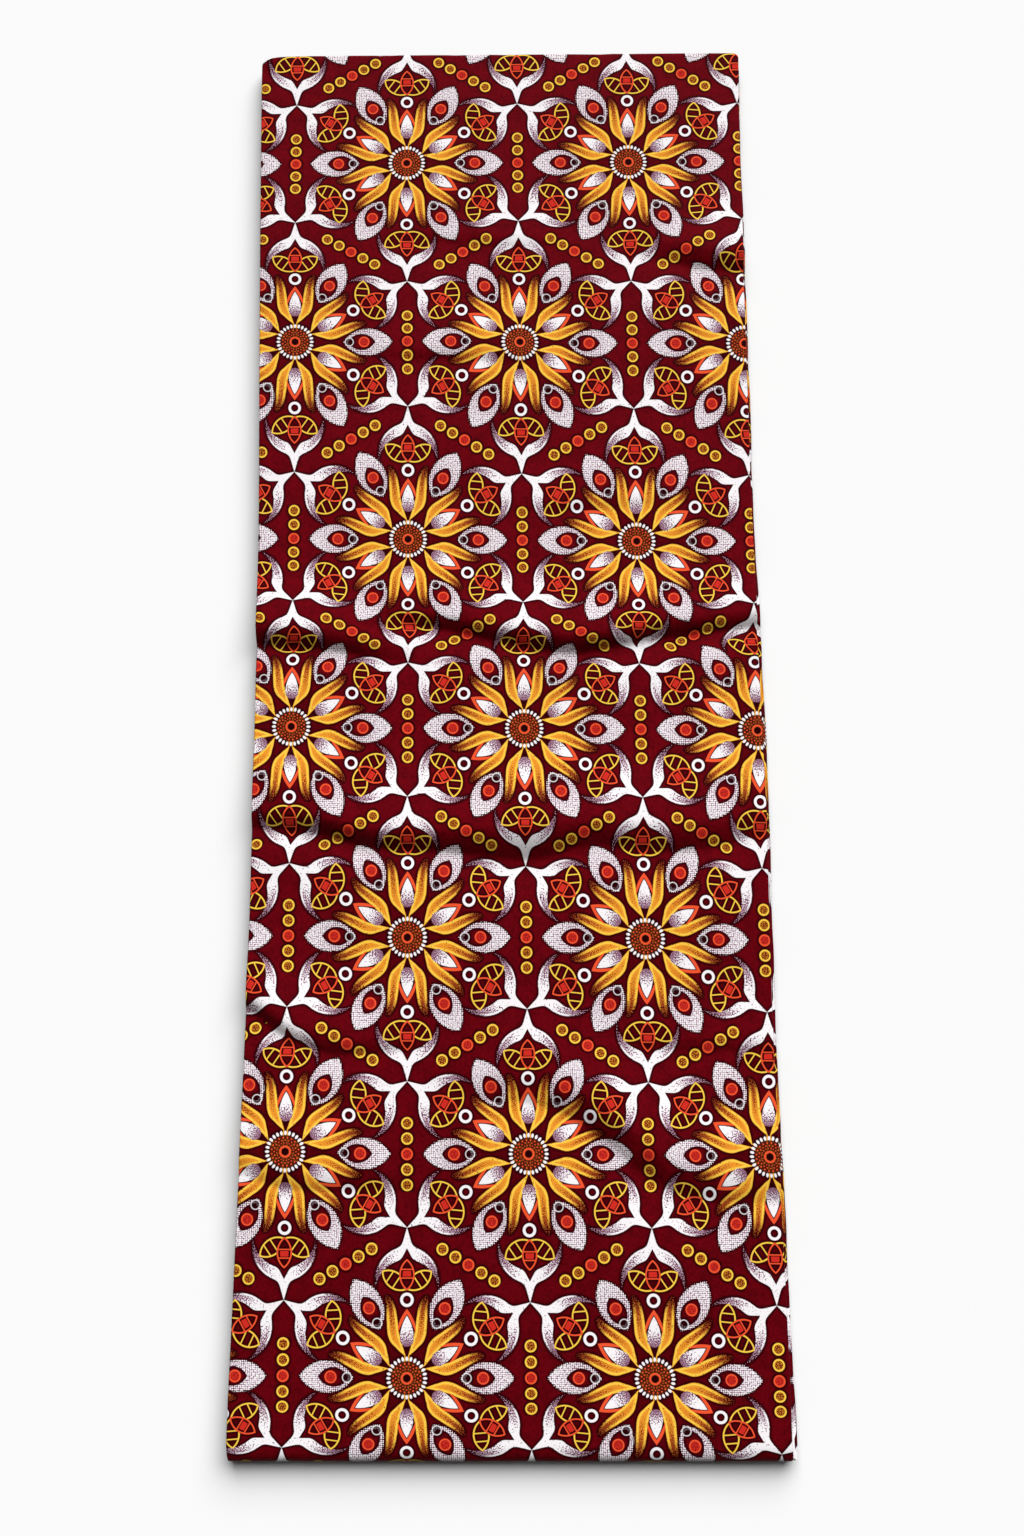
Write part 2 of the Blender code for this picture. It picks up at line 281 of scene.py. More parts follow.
# The same for the strips in between, as insets in metres from the lowest groove to the highest row
GROOVE = 0.0012
FOLD_OVER_EDGE = (
    (0.00, 1.30), (0.07, 0.70), (0.17, 0.52), (0.27, 0.70), (0.33, 1.15),
    (0.40, 0.60), (0.52, 0.12), (0.68, 0.00), (0.84, 0.16), (0.95, 0.62),
)
EDGE_OVER_FOLD = (
    (0.00, 1.30), (0.06, 0.60), (0.17, 0.14), (0.33, 0.00), (0.48, 0.12),
    (0.60, 0.60), (0.67, 1.15), (0.73, 0.72), (0.83, 0.52), (0.93, 0.74),
)

# Each inner strip: share of the right reach, left inset, setback at the far end, and where its
# wandering starts. The right reach is how far it comes out past the top strip's right fold.
Strip = namedtuple("Strip", "right_share left_inset far_setback phase")
STRIPS = (
    Strip(0.62, 0.0022, 0.0042, 0.4),
    Strip(1.00, 0.0006, 0.0016, 2.1),
    Strip(0.84, 0.0016, 0.0030, 3.9),
    Strip(0.12, 0.0009, 0.0012, 5.3),
)
RIGHT_REACH = (
    (0.000, 0.0006),
    (0.120, 0.0012),
    (0.200, 0.0016),
    (0.319, 0.0020),
    (0.500, 0.0026),
    (0.620, 0.0021),
    (0.678, 0.0022),
    (0.800, 0.0032),
    (0.846, 0.0034),
)

# How far the inner strips' folds stray sideways: size, wave length and turns. Across the far end
# they stray by a share of that, over longer waves.
WANDERS = ((0.00050, 0.233, 1.0), (0.00025, 0.094, 2.0), (0.00008, 0.031, 3.0))
FAR_WANDER = 0.6
FAR_WANDER_PACE = 0.7

# The sides of the pile, in the order in which a level's rim goes round, and the way out from each
FAR_SIDE, RIGHT_SIDE, NEAR_SIDE, LEFT_SIDE = range(4)
OUTWARDS = ((0, 1), (1, 0), (0, -1), (-1, 0))

# How finely the pieces are divided, and more finely from a little before a brow to past its dip
COLUMNS = 112
INNER_FACE_COLUMNS = 22
STATION_STEP = 0.0032
CREASE_STEP = 0.0013
BROW_REACH = 0.003
DIP_REACH = 0.005
NEAR_FOLD_STEPS = 36
NEAR_FOLD_SAMPLES = 2001
END_COLUMNS = 42

# The inner strips are divided from here on, but not right at the start. Faces that meet at more
# than this angle keep a sharp edge.
FIRST_INNER_ROW = 0.0060
FIRST_INNER_STEP = 0.0020
SHARP_ANGLE = radians(62)

# The bake map of a strip: both halves of its run side by side, with its cut ends in a row below.
# Its sides and inner face take less room for their size than the outer face.
SIDE_BAKE_SHARE = 0.12
INNER_FACE_BAKE_SHARE = 0.15
HALF_STARTS = (0.004, 0.506)
HALF_WIDTH = 0.49
RUN_TOP = 0.995
RUN_HEIGHT = 0.965
CAP_STARTS = (0.01, 0.51)
CAP_WIDTH = 0.47
CAP_MIDDLE = 0.012
CAP_HEIGHT = 0.016

# The bake map of the inner folds: their rim in bands, one above another, and both flat faces on top
RIM_BANDS = 12
RIM_START = 0.01
RIM_WIDTH = 0.98
RIM_HEIGHT = 0.90
BAND_START = 0.02
BAND_HEIGHT = 0.94
FACE_START = 0.93
FACE_HEIGHT = 0.06

# Where the print lies: one flower's centre, and how far the cloth is pulled along it at its rows
FLOWER_ACROSS = -0.0590
FLOWER_FROM_FAR = 0.0749
PRINT_PULL = (
    (0.0000, 0.0000),
    (0.0733, 0.0000),
    (0.1936, 0.0007),
    (0.2560, -0.0020),
    (0.3200, -0.0047),
    (0.3785, -0.0038),
    (0.4391, -0.0027),
    (0.5644, -0.0076),
    (0.6858, -0.0092),
    (0.8073, -0.0089),
    (0.8220, -0.0081),
    (0.8450, -0.0061),
    (0.8700, -0.0056),
)

# How far the print goes by the run of each column over the creases instead of their mean
PRINT_FOLLOWS_COLUMN = 0.15

# Beyond the first stretch the print lies slightly askew, further down on the right
PRINT_SKEW = 0.016
PRINT_SKEW_STARTS = (0.08, 0.24)

# The print lies slightly narrower towards the near end, about a line on the right
PRINT_DRAW_FROM = 0.0790
PRINT_DRAW = (
    (0.100, 0.000),
    (0.300, 0.011),
    (0.500, 0.013),
    (0.860, 0.018),
)

# The camera, where the cloth's outline looks as it does in the photograph
CAMERA_PLACE = (0.00122, -0.30607, 1.20495)
CAMERA_TILT = 0.222022
CAMERA_TURN = -0.00789
CAMERA_LENS = 49.27
CAMERA_SENSOR = 36.0
CAMERA_NEAREST = 0.05

# The table's half width and finish, and where the lamp of the soft light hangs
TABLE_HALF = 4.0
TABLE_ROUGHNESS = 0.85
TABLE_SPECULAR = 0.1
KEY_PLACE = (0.4, 1.2, 1.2)

# The finish of the cotton: matt, with a sheen and reflections that take on the ground's red
SHEEN_ROUGHNESS = 0.45
SHEEN_TINT = (0.70, 0.15, 0.20, 1.0)
SPECULAR_TINT = (1.0, 0.15, 0.20, 1.0)
SPECULAR_LEVEL = 0.05
WEAVE_STRENGTH = 0.6
WEAVE_SOFTNESS = 0.15
FOLDED_EDGE_WEAR = 0.06


def srgb(red, green, blue):
    """A colour given in display values from 0 to 255, as linear red, green, blue and alpha."""
    linear = []
    for value in (red, green, blue):
        share = value / 255
        linear.append(share / 12.92 if share <= 0.04045 else ((share + 0.055) / 1.055) ** 2.4)
    return (*linear, 1.0)


def colour_setting(name, description, default):
    """A colour property with a swatch."""
    return FloatVectorProperty(
        name=name,
        description=description,
        default=default,
        min=0.0,
        max=1.0,
        size=4,
        subtype="COLOR",
    )


def length_setting(name, description, default, low, high):
    """A length property, in metres."""
    return FloatProperty(
        name=name,
        description=description,
        default=default,
        min=low,
        max=high,
        precision=5,
        unit="LENGTH",
    )


def share_setting(name, description, default, high=1.0):
    """A property that goes from none to a full share."""
    return FloatProperty(
        name=name, description=description, default=default, min=0.0, max=high, subtype="FACTOR"
    )


def angle_setting(name, description, degrees, low, high):
    """An angle property, given in degrees."""
    return FloatProperty(
        name=name,
        description=description,
        default=radians(degrees),
        min=radians(low),
        max=radians(high),
        subtype="ANGLE",
    )


def strength_setting(name, description, default, high):
    """A property for the strength of a light."""
    return FloatProperty(name=name, description=description, default=default, min=0.0, max=high)


class PrintSettings(bpy.types.PropertyGroup):
    """Sizes and colours of the printed pattern."""

    repeat_across: length_setting(
        "Repeat across", "Distance between neighbouring flowers in a row", 0.13768, 0.02, 0.5
    )
    row_spacing: length_setting(
        "Row spacing", "Distance from one row of flowers to the next", 0.12102, 0.02, 0.5
    )
    ground: colour_setting("Ground", "Dyed ground of the cloth", srgb(102, 3, 13))
    shade: colour_setting("Shade", "Dark line round the motifs", srgb(29, 0, 3))
    gold: colour_setting("Gold", "Petals", srgb(223, 143, 42))
    bright_yellow: colour_setting("Bright yellow", "Rims of petals and dots", srgb(234, 191, 68))
    brown: colour_setting("Brown", "Stippling on the petals", srgb(139, 57, 21))
    white: colour_setting("White", "Discharged white of leaves and cups", srgb(232, 228, 230))
    lilac: colour_setting("Lilac", "Stippling on the white motifs", srgb(122, 77, 101))
    orange: colour_setting("Orange", "Outlines of drops and buds", srgb(224, 79, 44))
    red: colour_setting("Red", "Berries and middle dots", srgb(191, 40, 31))


class ClothSettings(bpy.types.PropertyGroup):
    """Sizes of the creases and threads, and the finish of the cotton."""

    crease_height: share_setting(
        "Crease height", "Height of the creases as a share of their usual height", 1.0, high=1.5
    )
    thread_pitch: length_setting(
        "Thread pitch", "Distance from one thread of the weave to the next", 0.00040, 0.0001, 0.005
    )
    thread_relief: length_setting(
        "Thread relief", "Height of a thread over its neighbours", 0.00003, 0.0, 0.001
    )
    roughness: share_setting("Roughness", "Roughness of the starched cotton between the inks", 0.62)
    sheen: share_setting("Sheen", "Strength of the fibres' soft sheen", 0.03)


class StudioSettings(bpy.types.PropertyGroup):
    """Colour of the table and strength of the light."""

    table: colour_setting("Table", "Pale surface under the cloth", (0.80, 0.80, 0.80, 1.0))
    table_bounce: share_setting(
        "Table bounce", "Share of its light that the table throws back on to the cloth", 0.18
    )
    key_strength: strength_setting(
        "Key strength", "Strength of the soft light from the far side", 4.70, 50.0
    )
    key_softness: angle_setting("Key softness", "Angle that the soft light spans", 60, 0, 180)
    key_height: angle_setting("Key height", "Angle of the soft light above the table", 49, 0, 90)
    key_turn: angle_setting(
        "Key turn", "Angle of the soft light to the right of the far side", 18, -180, 180
    )
    fill_strength: strength_setting(
        "Fill strength", "Strength of the even light from all round", 0.07, 10.0
    )


def settings():
    """The scene's print, cloth and studio settings."""
    scene = bpy.context.scene
    return scene.cotton_print, scene.cotton_cloth, scene.cotton_studio


class Number:
    """A number that nodes work out, which is added and multiplied like a plain one."""

    def __init__(self, bench, socket):
        self.bench = bench
        self.socket = socket

    def __add__(self, other):
        return self.bench.math("ADD", self, other)

    def __sub__(self, other):
        return self.bench.math("SUBTRACT", self, other)

    def __rsub__(self, other):
        return self.bench.math("SUBTRACT", other, self)

    def __mul__(self, other):
        return self.bench.math("MULTIPLY", self, other)

    def __truediv__(self, other):
        return self.bench.math("DIVIDE", self, other)

    def __abs__(self):
        return self.bench.math("ABSOLUTE", self)


class Bench:
    """Puts nodes into one tree and joins them."""

    def __init__(self, tree):
        self.tree = tree

    def node(self, kind, inputs=None, **choices):
        """A new node with its choices set and its inputs given a value, a socket or a Number."""
        made = self.tree.nodes.new(kind)
        for choice, value in choices.items():
            setattr(made, choice, value)
        for key, value in (inputs or {}).items():
            self.feed(made.inputs[key], value)
        return made

    def feed(self, socket, value):
        """Joins or sets one input."""
        if isinstance(value, Number):
            value = value.socket
        if isinstance(value, bpy.types.NodeSocket):
            self.tree.links.new(value, socket)
        else:
            socket.default_value = value

    def math(self, operation, *values):
        """The result of one Math node."""
        made = self.node("ShaderNodeMath", operation=operation)
        for socket, value in zip(made.inputs, values):
            self.feed(socket, value)
        return Number(self, made.outputs[0])

    def vector(self, operation, *values):
        """The result of one Vector Math node."""
        made = self.node("ShaderNodeVectorMath", operation=operation)
        for socket, value in zip(made.inputs, values):
            self.feed(socket, value)
        return made.outputs["Value" if operation == "LENGTH" else "Vector"]

    def least(self, *values):
        """The smallest of some numbers."""
        result = values[0]
        for value in values[1:]:
            result = self.math("MINIMUM", result, value)
        return result

    def most(self, *values):
        """The largest of some numbers."""
        result = values[0]
        for value in values[1:]:
            result = self.math("MAXIMUM", result, value)
        return result

    def ramp(self, value, start, end, low=0.0, high=1.0, smooth=True):
        """A number that goes from low to high as value goes from start to end."""
        made = self.node(
            "ShaderNodeMapRange",
            {0: value, 1: start, 2: end, 3: low, 4: high},
            interpolation_type="SMOOTHSTEP" if smooth else "LINEAR",
            clamp=True,
        )
        return Number(self, made.outputs[0])

    def curve(self, value, points):
        """A number read off a smooth curve through (0 to 1, 0 to 1) points."""
        made = self.node("ShaderNodeFloatCurve", {"Value": value})
        line = made.mapping.curves[0]
        line.points[0].location = points[0]
        line.points[1].location = points[-1]
        for x, y in points[1:-1]:
            line.points.new(x, y)
        made.mapping.update()
        return Number(self, made.outputs[0])

    def length(self, x, y):
        """Length of a flat vector."""
        joined = self.node("ShaderNodeCombineXYZ", {0: x, 1: y})
        return Number(self, self.vector("LENGTH", joined.outputs[0]))

    def mix(self, share, first, second):
        """A colour that goes from the first to the second."""
        made = self.node("ShaderNodeMix", data_type="RGBA")
        self.feed(made.inputs[0], share)
        self.feed(made.inputs[6], first)
        self.feed(made.inputs[7], second)
        return made.outputs[2]


def new_group(name, inputs, outputs):
    """An empty shader node group, as its tree, a bench for it, and the sockets to read and feed."""
    tree = bpy.data.node_groups.new(name, "ShaderNodeTree")
    for label, kind, default in inputs:
        socket = tree.interface.new_socket(label, in_out="INPUT", socket_type=kind)
        if default is not None:
            socket.default_value = default
    for label, kind in outputs:
        tree.interface.new_socket(label, in_out="OUTPUT", socket_type=kind)
    bench = Bench(tree)
    source = bench.node("NodeGroupInput").outputs
    target = bench.node("NodeGroupOutput").inputs
    return tree, bench, source, target


# The print's repeat across in millimetres, and the distance from one row of flowers to the next
PRINT_REPEAT = 137.68
PRINT_ROW = PRINT_REPEAT * sqrt(3) / 2

# How far a motif's edge blurs to each side, how large stippled dots grow, and how much smoother the
# inked cloth is
INK_EDGE = 0.16
STIPPLE_SIZE = 0.75
STIPPLE_EDGE = 0.06
INK_GLOSS = 0.08

# A petal from foot to tip: how far aside its middle line lies, and how wide it is, as shares
PETAL_ASIDE = 13.0
PETAL_HALF_WIDTH = 3.9
PETAL_MIDDLE = ((0.0, 0.08), (0.16, 0.34), (0.36, 0.57), (0.58, 0.64), (0.78, 0.71), (1.0, 0.93))
PETAL_WIDTH = (
    (0.0, 0.08), (0.14, 0.46), (0.32, 0.76), (0.56, 0.76), (0.76, 0.63), (0.92, 0.32), (1.0, 0.0)
)

# A bud's side lobes start here along the drop's axis, turned by an angle with this cosine and sine.
# Two bars cross each lobe, one to each side of its waist.
SIDE_LOBE_START = 46.6
SIDE_LOBE_TURN = (0.573, 0.819)
MIDDLE_LOBE_WAIST = 55.0
SIDE_LOBE_WAIST = 9.4
BUD_LINE = 0.42
BUD_BAR = 0.34
BUD_BAR_SPREAD = 2.3

# Half the distance between border dots, and where and how fast the dark line round a row narrows
BORDER_DOT_HALF_STEP = 4.2
BORDER_ROW_END = 20.5
BORDER_ROW_NARROWING = 10.0

# How many beads and dots go round the flower's middle, and the distance between two rings of dots
BEAD_COUNT = 28
DOT_COUNT = 20
DOT_RING_STEP = 1.45

# The settings that the print's node group takes, apart from the place on the cloth
PRINT_SIZES = ("repeat_across", "row_spacing")
PRINT_COLOURS = (
    "ground", "shade", "gold", "bright_yellow", "brown", "white", "lilac", "orange", "red"
)


class FlowerPrint:
    """Draws the hexagonal repeat of flowers, leaves, cups and dots with nodes, in millimetres.

    Each shape is a distance to its edge, below zero inside it. The shapes are drawn in one half of
    a sixth of the flower. There, leaf is the place along and beside the axis of a leaf, and drop
    the place along and beside the axis of a drop. A place beside an axis isn't below zero."""

    def __init__(self, bench, source):
        self.bench = bench
        self.source = source
        self.edges = []
        self.layers = []
        self.inked = []
        self.find_place()
        self.grain = self.scatter(1.15, 0.75)
        self.pebble = self.scatter(0.92, 0.34)
        self.speckled_red = bench.mix(self.stipple(0.46) * 0.65, source["Red"], source["Shade"])

    def find_place(self):
        """Finds each point's place from the middle of the nearest flower."""
        bench = self.bench
        place = bench.node("ShaderNodeSeparateXYZ", {0: self.source["Place"]})
        across = Number(bench, place.outputs[0]) / self.source["Repeat Across"] * PRINT_REPEAT
        self.along = Number(bench, place.outputs[1]) / self.source["Row Spacing"] * PRINT_ROW
        self.on_cloth = bench.node("ShaderNodeCombineXYZ", {0: across, 1: self.along}).outputs[0]
        corner = (PRINT_REPEAT / 2, PRINT_ROW, 1.0)
        other_corner = (-PRINT_REPEAT / 2, -PRINT_ROW, -1.0)
        first = bench.vector("WRAP", self.on_cloth, corner, other_corner)
        moved = bench.vector("SUBTRACT", self.on_cloth, (PRINT_REPEAT / 2, PRINT_ROW, 0.0))
        second = bench.vector("WRAP", moved, corner, other_corner)
        second_nearer = bench.math(
            "LESS_THAN", bench.vector("LENGTH", second), bench.vector("LENGTH", first)
        )
        choice = bench.node("ShaderNodeMix", data_type="VECTOR")
        bench.feed(choice.inputs[0], second_nearer)
        bench.feed(choice.inputs[4], first)
        bench.feed(choice.inputs[5], second)
        in_cell = choice.outputs[1]
        flat = bench.node("ShaderNodeSeparateXYZ", {0: in_cell})
        self.radius = Number(bench, bench.vector("LENGTH", in_cell))
        self.angle = bench.math("ARCTAN2", flat.outputs[1], flat.outputs[0])
        from_leaf = bench.math("PINGPONG", self.angle, pi / 6)
        self.leaf = self.by_axis(from_leaf)
        self.drop = self.by_axis(pi / 6 - from_leaf)

    def by_axis(self, turn):
        """Places along and beside an axis that lies at an angle from each point."""
        along = self.radius * self.bench.math("COSINE", turn)
        return along, self.radius * self.bench.math("SINE", turn)

    def scatter(self, scale, randomness):
        """Distances to the nearest of many scattered points."""
        cells = self.bench.node(
            "ShaderNodeTexVoronoi",
            {"Vector": self.on_cloth, "Scale": scale, "Randomness": randomness},
            voronoi_dimensions="2D",
        )
        return Number(self.bench, cells.outputs["Distance"])

    def mottle(self, scale, detail, roughness, low, high):
        """Soft patches of a deeper dye."""
        noise = self.bench.node(
            "ShaderNodeTexNoise",
            {"Vector": self.on_cloth, "Scale": scale, "Detail": detail, "Roughness": roughness},
            noise_dimensions="2D",
        )
        return self.bench.ramp(noise.outputs[0], low, high, 0.0, 0.26)

    def stipple(self, tone):
        """Dots that grow as a tone rises."""
        return self.bench.ramp(self.grain - tone * STIPPLE_SIZE, STIPPLE_EDGE, -STIPPLE_EDGE)

    def inside(self, distance):
        """Where a shape is, with a soft edge."""
        return self.bench.ramp(distance, INK_EDGE, -INK_EDGE)

    def disc(self, place, middle, radius):
        """A round spot on the axis."""
        along, beside = place
        return self.bench.length(along - middle, beside) - radius

    def almond(self, place, middle, half_length, half_width):
        """A leaf shape with two points, along the axis."""
        along, beside = place
        arc = (half_length**2 + half_width**2) / (2 * half_width)
        return self.bench.length(along - middle, beside + (arc - half_width)) - arc

    def band(self, distance, middle, half):
        """A line that follows a shape's edge at a distance from it."""
        return abs(distance - middle) - half

    def lay(self, mask, colour, inked=False):
        """Lays a colour over what is there. Inked places are glossier."""
        self.layers.append((mask, colour))
        if inked:
            self.inked.append(mask)

    def white_with_lilac(self, share):
        """Stippled white."""
        return self.bench.mix(share, self.source["Lilac"], self.source["White"])

    def ground(self):
        """The mottled ground, with a deeper dye within the flower, and darker towards the near end.
        """
        bench = self.bench
        shade = self.source["Shade"]
        mottle = self.mottle(0.11, 4.0, 0.65, 0.3, 0.75) + self.mottle(0.55, 2.0, 0.6, 0.35, 0.7)
        wide_halo = bench.ramp(self.radius, 54.0, 42.0, 0.0, 0.10)
        halo = wide_halo + bench.ramp(self.radius, 34.0, 16.0, 0.0, 0.20)
        # The ground darkens towards the near end of the run
        near_end = bench.ramp(self.along, -250.0, -750.0, 0.0, 0.16)
        picture = bench.mix(mottle, self.source["Ground"], shade)
        picture = bench.mix(halo, picture, shade)
        return bench.mix(near_end, picture, shade)

    def cups(self):
        """Cups of white that arch over the buds and meet in threes."""
        bench = self.bench
        along, beside = self.drop
        arch = self.disc(self.drop, middle=51.4, radius=17.9)
        arch_tip = bench.most(beside - (79.5 - along) * 0.30, 62.0 - along)
        back = bench.math("SMOOTH_MIN", arch, arch_tip, 4.5)
        mouth = self.disc(self.drop, middle=44.7, radius=17.8)
        mouth_tip = bench.most(beside - (68.6 - along) * 0.55, 56.0 - along)
        mouth = bench.math("SMOOTH_MIN", mouth, mouth_tip, 3.0)
        cup = bench.most(back, 0.0 - mouth)
        body = self.stipple(bench.ramp(beside, 16.0, 3.5, 0.16, 1.0, smooth=False))
        rim = bench.ramp(abs(back + 0.6), 0.65, 0.3) * bench.ramp(beside, 17.5, 13.5)
        fade = self.stipple(bench.ramp(beside, 18.2, 14.0, 0.30, 1.0, smooth=False))
        self.edges.append(cup)
        self.lay(self.inside(cup) * fade, self.white_with_lilac(bench.most(body, rim)), inked=True)

    def petals(self):
        """Golden petals, in pairs beside each drop."""
        bench = self.bench
        reach = bench.ramp(self.radius, 12.0, 46.5, smooth=False)
        middle_line = bench.curve(reach, PETAL_MIDDLE) * PETAL_ASIDE
        half_width = bench.curve(reach, PETAL_WIDTH) * PETAL_HALF_WIDTH
        petal = abs(self.drop[1] - middle_line) - half_width
        petal = petal + bench.ramp(self.radius, 45.0, 48.0, 0.0, 5.0, smooth=False)
        fade = self.stipple(bench.ramp(reach, 1.0, 0.66, 0.14, 1.0, smooth=False))
        tone = bench.ramp(reach, 0.27, 0.84, 0.0, 0.80, smooth=False)
        tone = tone + bench.ramp(petal, -1.1, -2.9, 0.0, 0.26)
        rim = bench.ramp(abs(petal + 0.8), 0.85, 0.3) * bench.ramp(reach, 0.92, 0.55)
        gold = bench.mix(self.stipple(tone), self.source["Gold"], self.source["Brown"])
        gold = bench.mix(rim, gold, self.source["Bright Yellow"])
        self.edges.append(petal)
        self.lay(self.inside(petal) * fade, gold, inked=True)

    def leaves(self):
        """Leaves of white beads on the six main axes, with a berry and a small ring at the foot."""
        bench = self.bench
        leaf = self.almond(self.leaf, middle=44.6, half_length=14.8, half_width=8.3)
        leaf = leaf + (self.pebble - 0.32) * 1.9
        hollow = self.almond(self.leaf, middle=40.8, half_length=8.4, half_width=5.2)
        leaf = bench.most(leaf, 0.0 - hollow)
        tip = bench.ramp(self.leaf[0], 38.0, 56.0, 0.0, 0.09)
        white = bench.ramp(self.pebble - tip, 0.455, 0.295)
        berry = self.disc(self.leaf, middle=42.3, radius=3.3)
        foot = self.disc(self.leaf, middle=33.2, radius=2.5)
        self.edges += [leaf, foot - 0.4]
        self.lay(self.inside(leaf), self.white_with_lilac(white), inked=True)
        self.lay(self.inside(berry), self.speckled_red)
        self.lay(self.inside(self.band(berry, -0.35, 0.40)), self.source["Orange"])
        self.lay(self.inside(foot) * 0.85, self.source["Shade"])
        self.lay(self.inside(abs(foot) - 0.30) * 0.70, self.source["White"])

    def drops(self):
        """White drops with an orange line round the point, and a ring before each."""
        bench = self.bench
        along = self.drop[0]
        middle = 20.4
        half_width = 3.8
        rounded = self.disc(self.drop, middle, half_width)
        pointed = bench.most(self.almond(self.drop, middle, 12.4, half_width), middle - along)
        drop = bench.least(rounded, pointed)
        white = self.stipple(bench.ramp(along, 17.6, 27.5, 0.16, 1.0, smooth=False))
        line = abs(drop - 1.35) - bench.ramp(along, 20.0, 30.0, -0.4, 0.85)
        ring = self.band(self.disc(self.drop, middle=41.2, radius=3.0), 0.0, 0.78)
        self.edges += [drop - 1.4, ring]
        self.lay(self.inside(line), self.source["Orange"])
        self.lay(self.inside(drop), self.white_with_lilac(white), inked=True)
        self.lay(self.inside(ring), self.source["White"])

    def bud_bars(self, from_waist):
        """The two bars across a lobe, by the distance from its waist."""
        return abs(abs(from_waist) - BUD_BAR_SPREAD) - BUD_BAR

    def buds(self):
        """Three-lobed buds between the ring and the cup, each lobe crossed by two bars."""
        bench = self.bench
        along, beside = self.drop
        from_waist = along - MIDDLE_LOBE_WAIST
        cosine, sine = SIDE_LOBE_TURN
        turned_along = (along - SIDE_LOBE_START) * cosine + beside * sine
        turned_beside = beside * cosine - (along - SIDE_LOBE_START) * sine
        middle = self.almond(self.drop, middle=54.4, half_length=8.4, half_width=4.3)
        side = self.almond((turned_along, abs(turned_beside)), 8.5, 8.6, 4.6)
        off_middle = 0.1 - middle
        middle_line = self.band(middle, -BUD_LINE, BUD_LINE)
        middle_line = bench.least(middle_line, bench.most(self.bud_bars(from_waist), middle))
        side_line = bench.most(self.band(side, -BUD_LINE, BUD_LINE), off_middle)
        side_bars = bench.most(
            self.bud_bars(turned_along - SIDE_LOBE_WAIST), side, off_middle
        )
        side_line = bench.least(side_line, side_bars)
        well = bench.least(middle, side) + 1.0
        seed = bench.most(middle + 1.9, abs(from_waist) - 1.5)
        self.edges += [middle_line, side_line]
        self.lay(self.inside(well) * 0.25, self.source["Shade"])
        self.lay(self.inside(side_line), self.source["Bright Yellow"])
        self.lay(self.inside(seed), self.source["Red"])
        self.lay(self.inside(middle_line), self.source["Orange"])

    def border_dots(self):
        """Rows of ring-shaped dots along each border between flowers, the middle one red."""
        bench = self.bench
        along, beside = self.leaf
        from_dot = bench.math("PINGPONG", beside, BORDER_DOT_HALF_STEP)
        spot = bench.length(along - PRINT_REPEAT / 2, from_dot)
        in_row = bench.math("LESS_THAN", beside, 5 * BORDER_DOT_HALF_STEP)
        is_red = bench.math("LESS_THAN", beside, BORDER_DOT_HALF_STEP)
        beyond_row = bench.math("MAXIMUM", beside - BORDER_ROW_END, 0.0)
        dark_brown = bench.mix(0.55, self.source["Brown"], self.source["Shade"])
        brown = bench.mix(self.stipple(0.36), dark_brown, self.source["Gold"])
        fill = bench.mix(is_red, brown, self.speckled_red)
        line = bench.mix(is_red, self.source["Bright Yellow"], self.source["Orange"])
        self.edges.append(spot - 3.4 + beyond_row * BORDER_ROW_NARROWING)
        self.lay(self.inside(spot - 2.4) * in_row, fill)
        self.lay(self.inside(self.band(spot, 2.85, 0.48)) * in_row, line)

    def flower_middle(self):
        """The flower's middle: long beads, rings of dots and an eye."""
        bench = self.bench
        radius = self.radius
        bead_turn = bench.math("PINGPONG", self.angle, pi / BEAD_COUNT) * radius
        beads = bench.length((radius - 10.2) * 0.62, bead_turn) - 0.72
        dot_row = (radius - 4.0) / DOT_RING_STEP
        dot_turn = self.angle * (DOT_COUNT / (2 * pi)) + bench.math("FLOOR", dot_row) * 0.5
        dot_x = (bench.math("FRACT", dot_turn) - 0.5) * radius * (2 * pi / DOT_COUNT)
        dot_y = (bench.math("FRACT", dot_row) - 0.5) * DOT_RING_STEP
        dots = bench.length(dot_x, dot_y) - radius * 0.060
        dots = bench.most(dots, radius - 8.5, 3.9 - radius)
        darkest_brown = bench.mix(0.78, self.source["Brown"], self.source["Shade"])
        self.edges.append(radius - 11.3)
        self.lay(self.inside(radius - 8.9) * 0.9, darkest_brown)
        self.lay(self.inside(dots), self.source["Orange"])
        self.lay(self.inside(self.band(radius, 2.8, 0.55)), self.source["Orange"])
        self.lay(self.inside(radius - 1.9), self.source["Shade"])
        self.lay(self.inside(beads), self.source["White"])

    def picture(self):
        """The whole print: the ground, a dark line round everything, then the motifs in order."""
        bench = self.bench
        picture = self.ground()
        self.cups()
        self.petals()
        self.leaves()
        self.drops()
        self.buds()
        self.border_dots()
        self.flower_middle()
        outline = bench.ramp(bench.least(*self.edges), 2.1, 0.35, 0.0, 0.88)
        picture = bench.mix(outline, picture, self.source["Shade"])
        for mask, colour in self.layers:
            picture = bench.mix(mask, picture, colour)
        return picture


def socket_label(name):
    """The label that a setting has as a node group's input."""
    return name.replace("_", " ").title()


def flower_print_group():
    """The node group that gives the print's colour, and where ink lies on the cloth."""
    printed, _, _ = settings()
    inputs = [("Place", "NodeSocketVector", None)]
    for kind, names in (("NodeSocketFloat", PRINT_SIZES), ("NodeSocketColor", PRINT_COLOURS)):
        inputs += [(socket_label(name), kind, getattr(printed, name)) for name in names]
    outputs = [("Color", "NodeSocketColor"), ("Ink", "NodeSocketFloat")]
    tree, bench, source, target = new_group("hexagonal flower print", inputs, outputs)
    flower = FlowerPrint(bench, source)
    bench.feed(target["Color"], flower.picture())
    bench.feed(target["Ink"], bench.most(*flower.inked))
    return tree


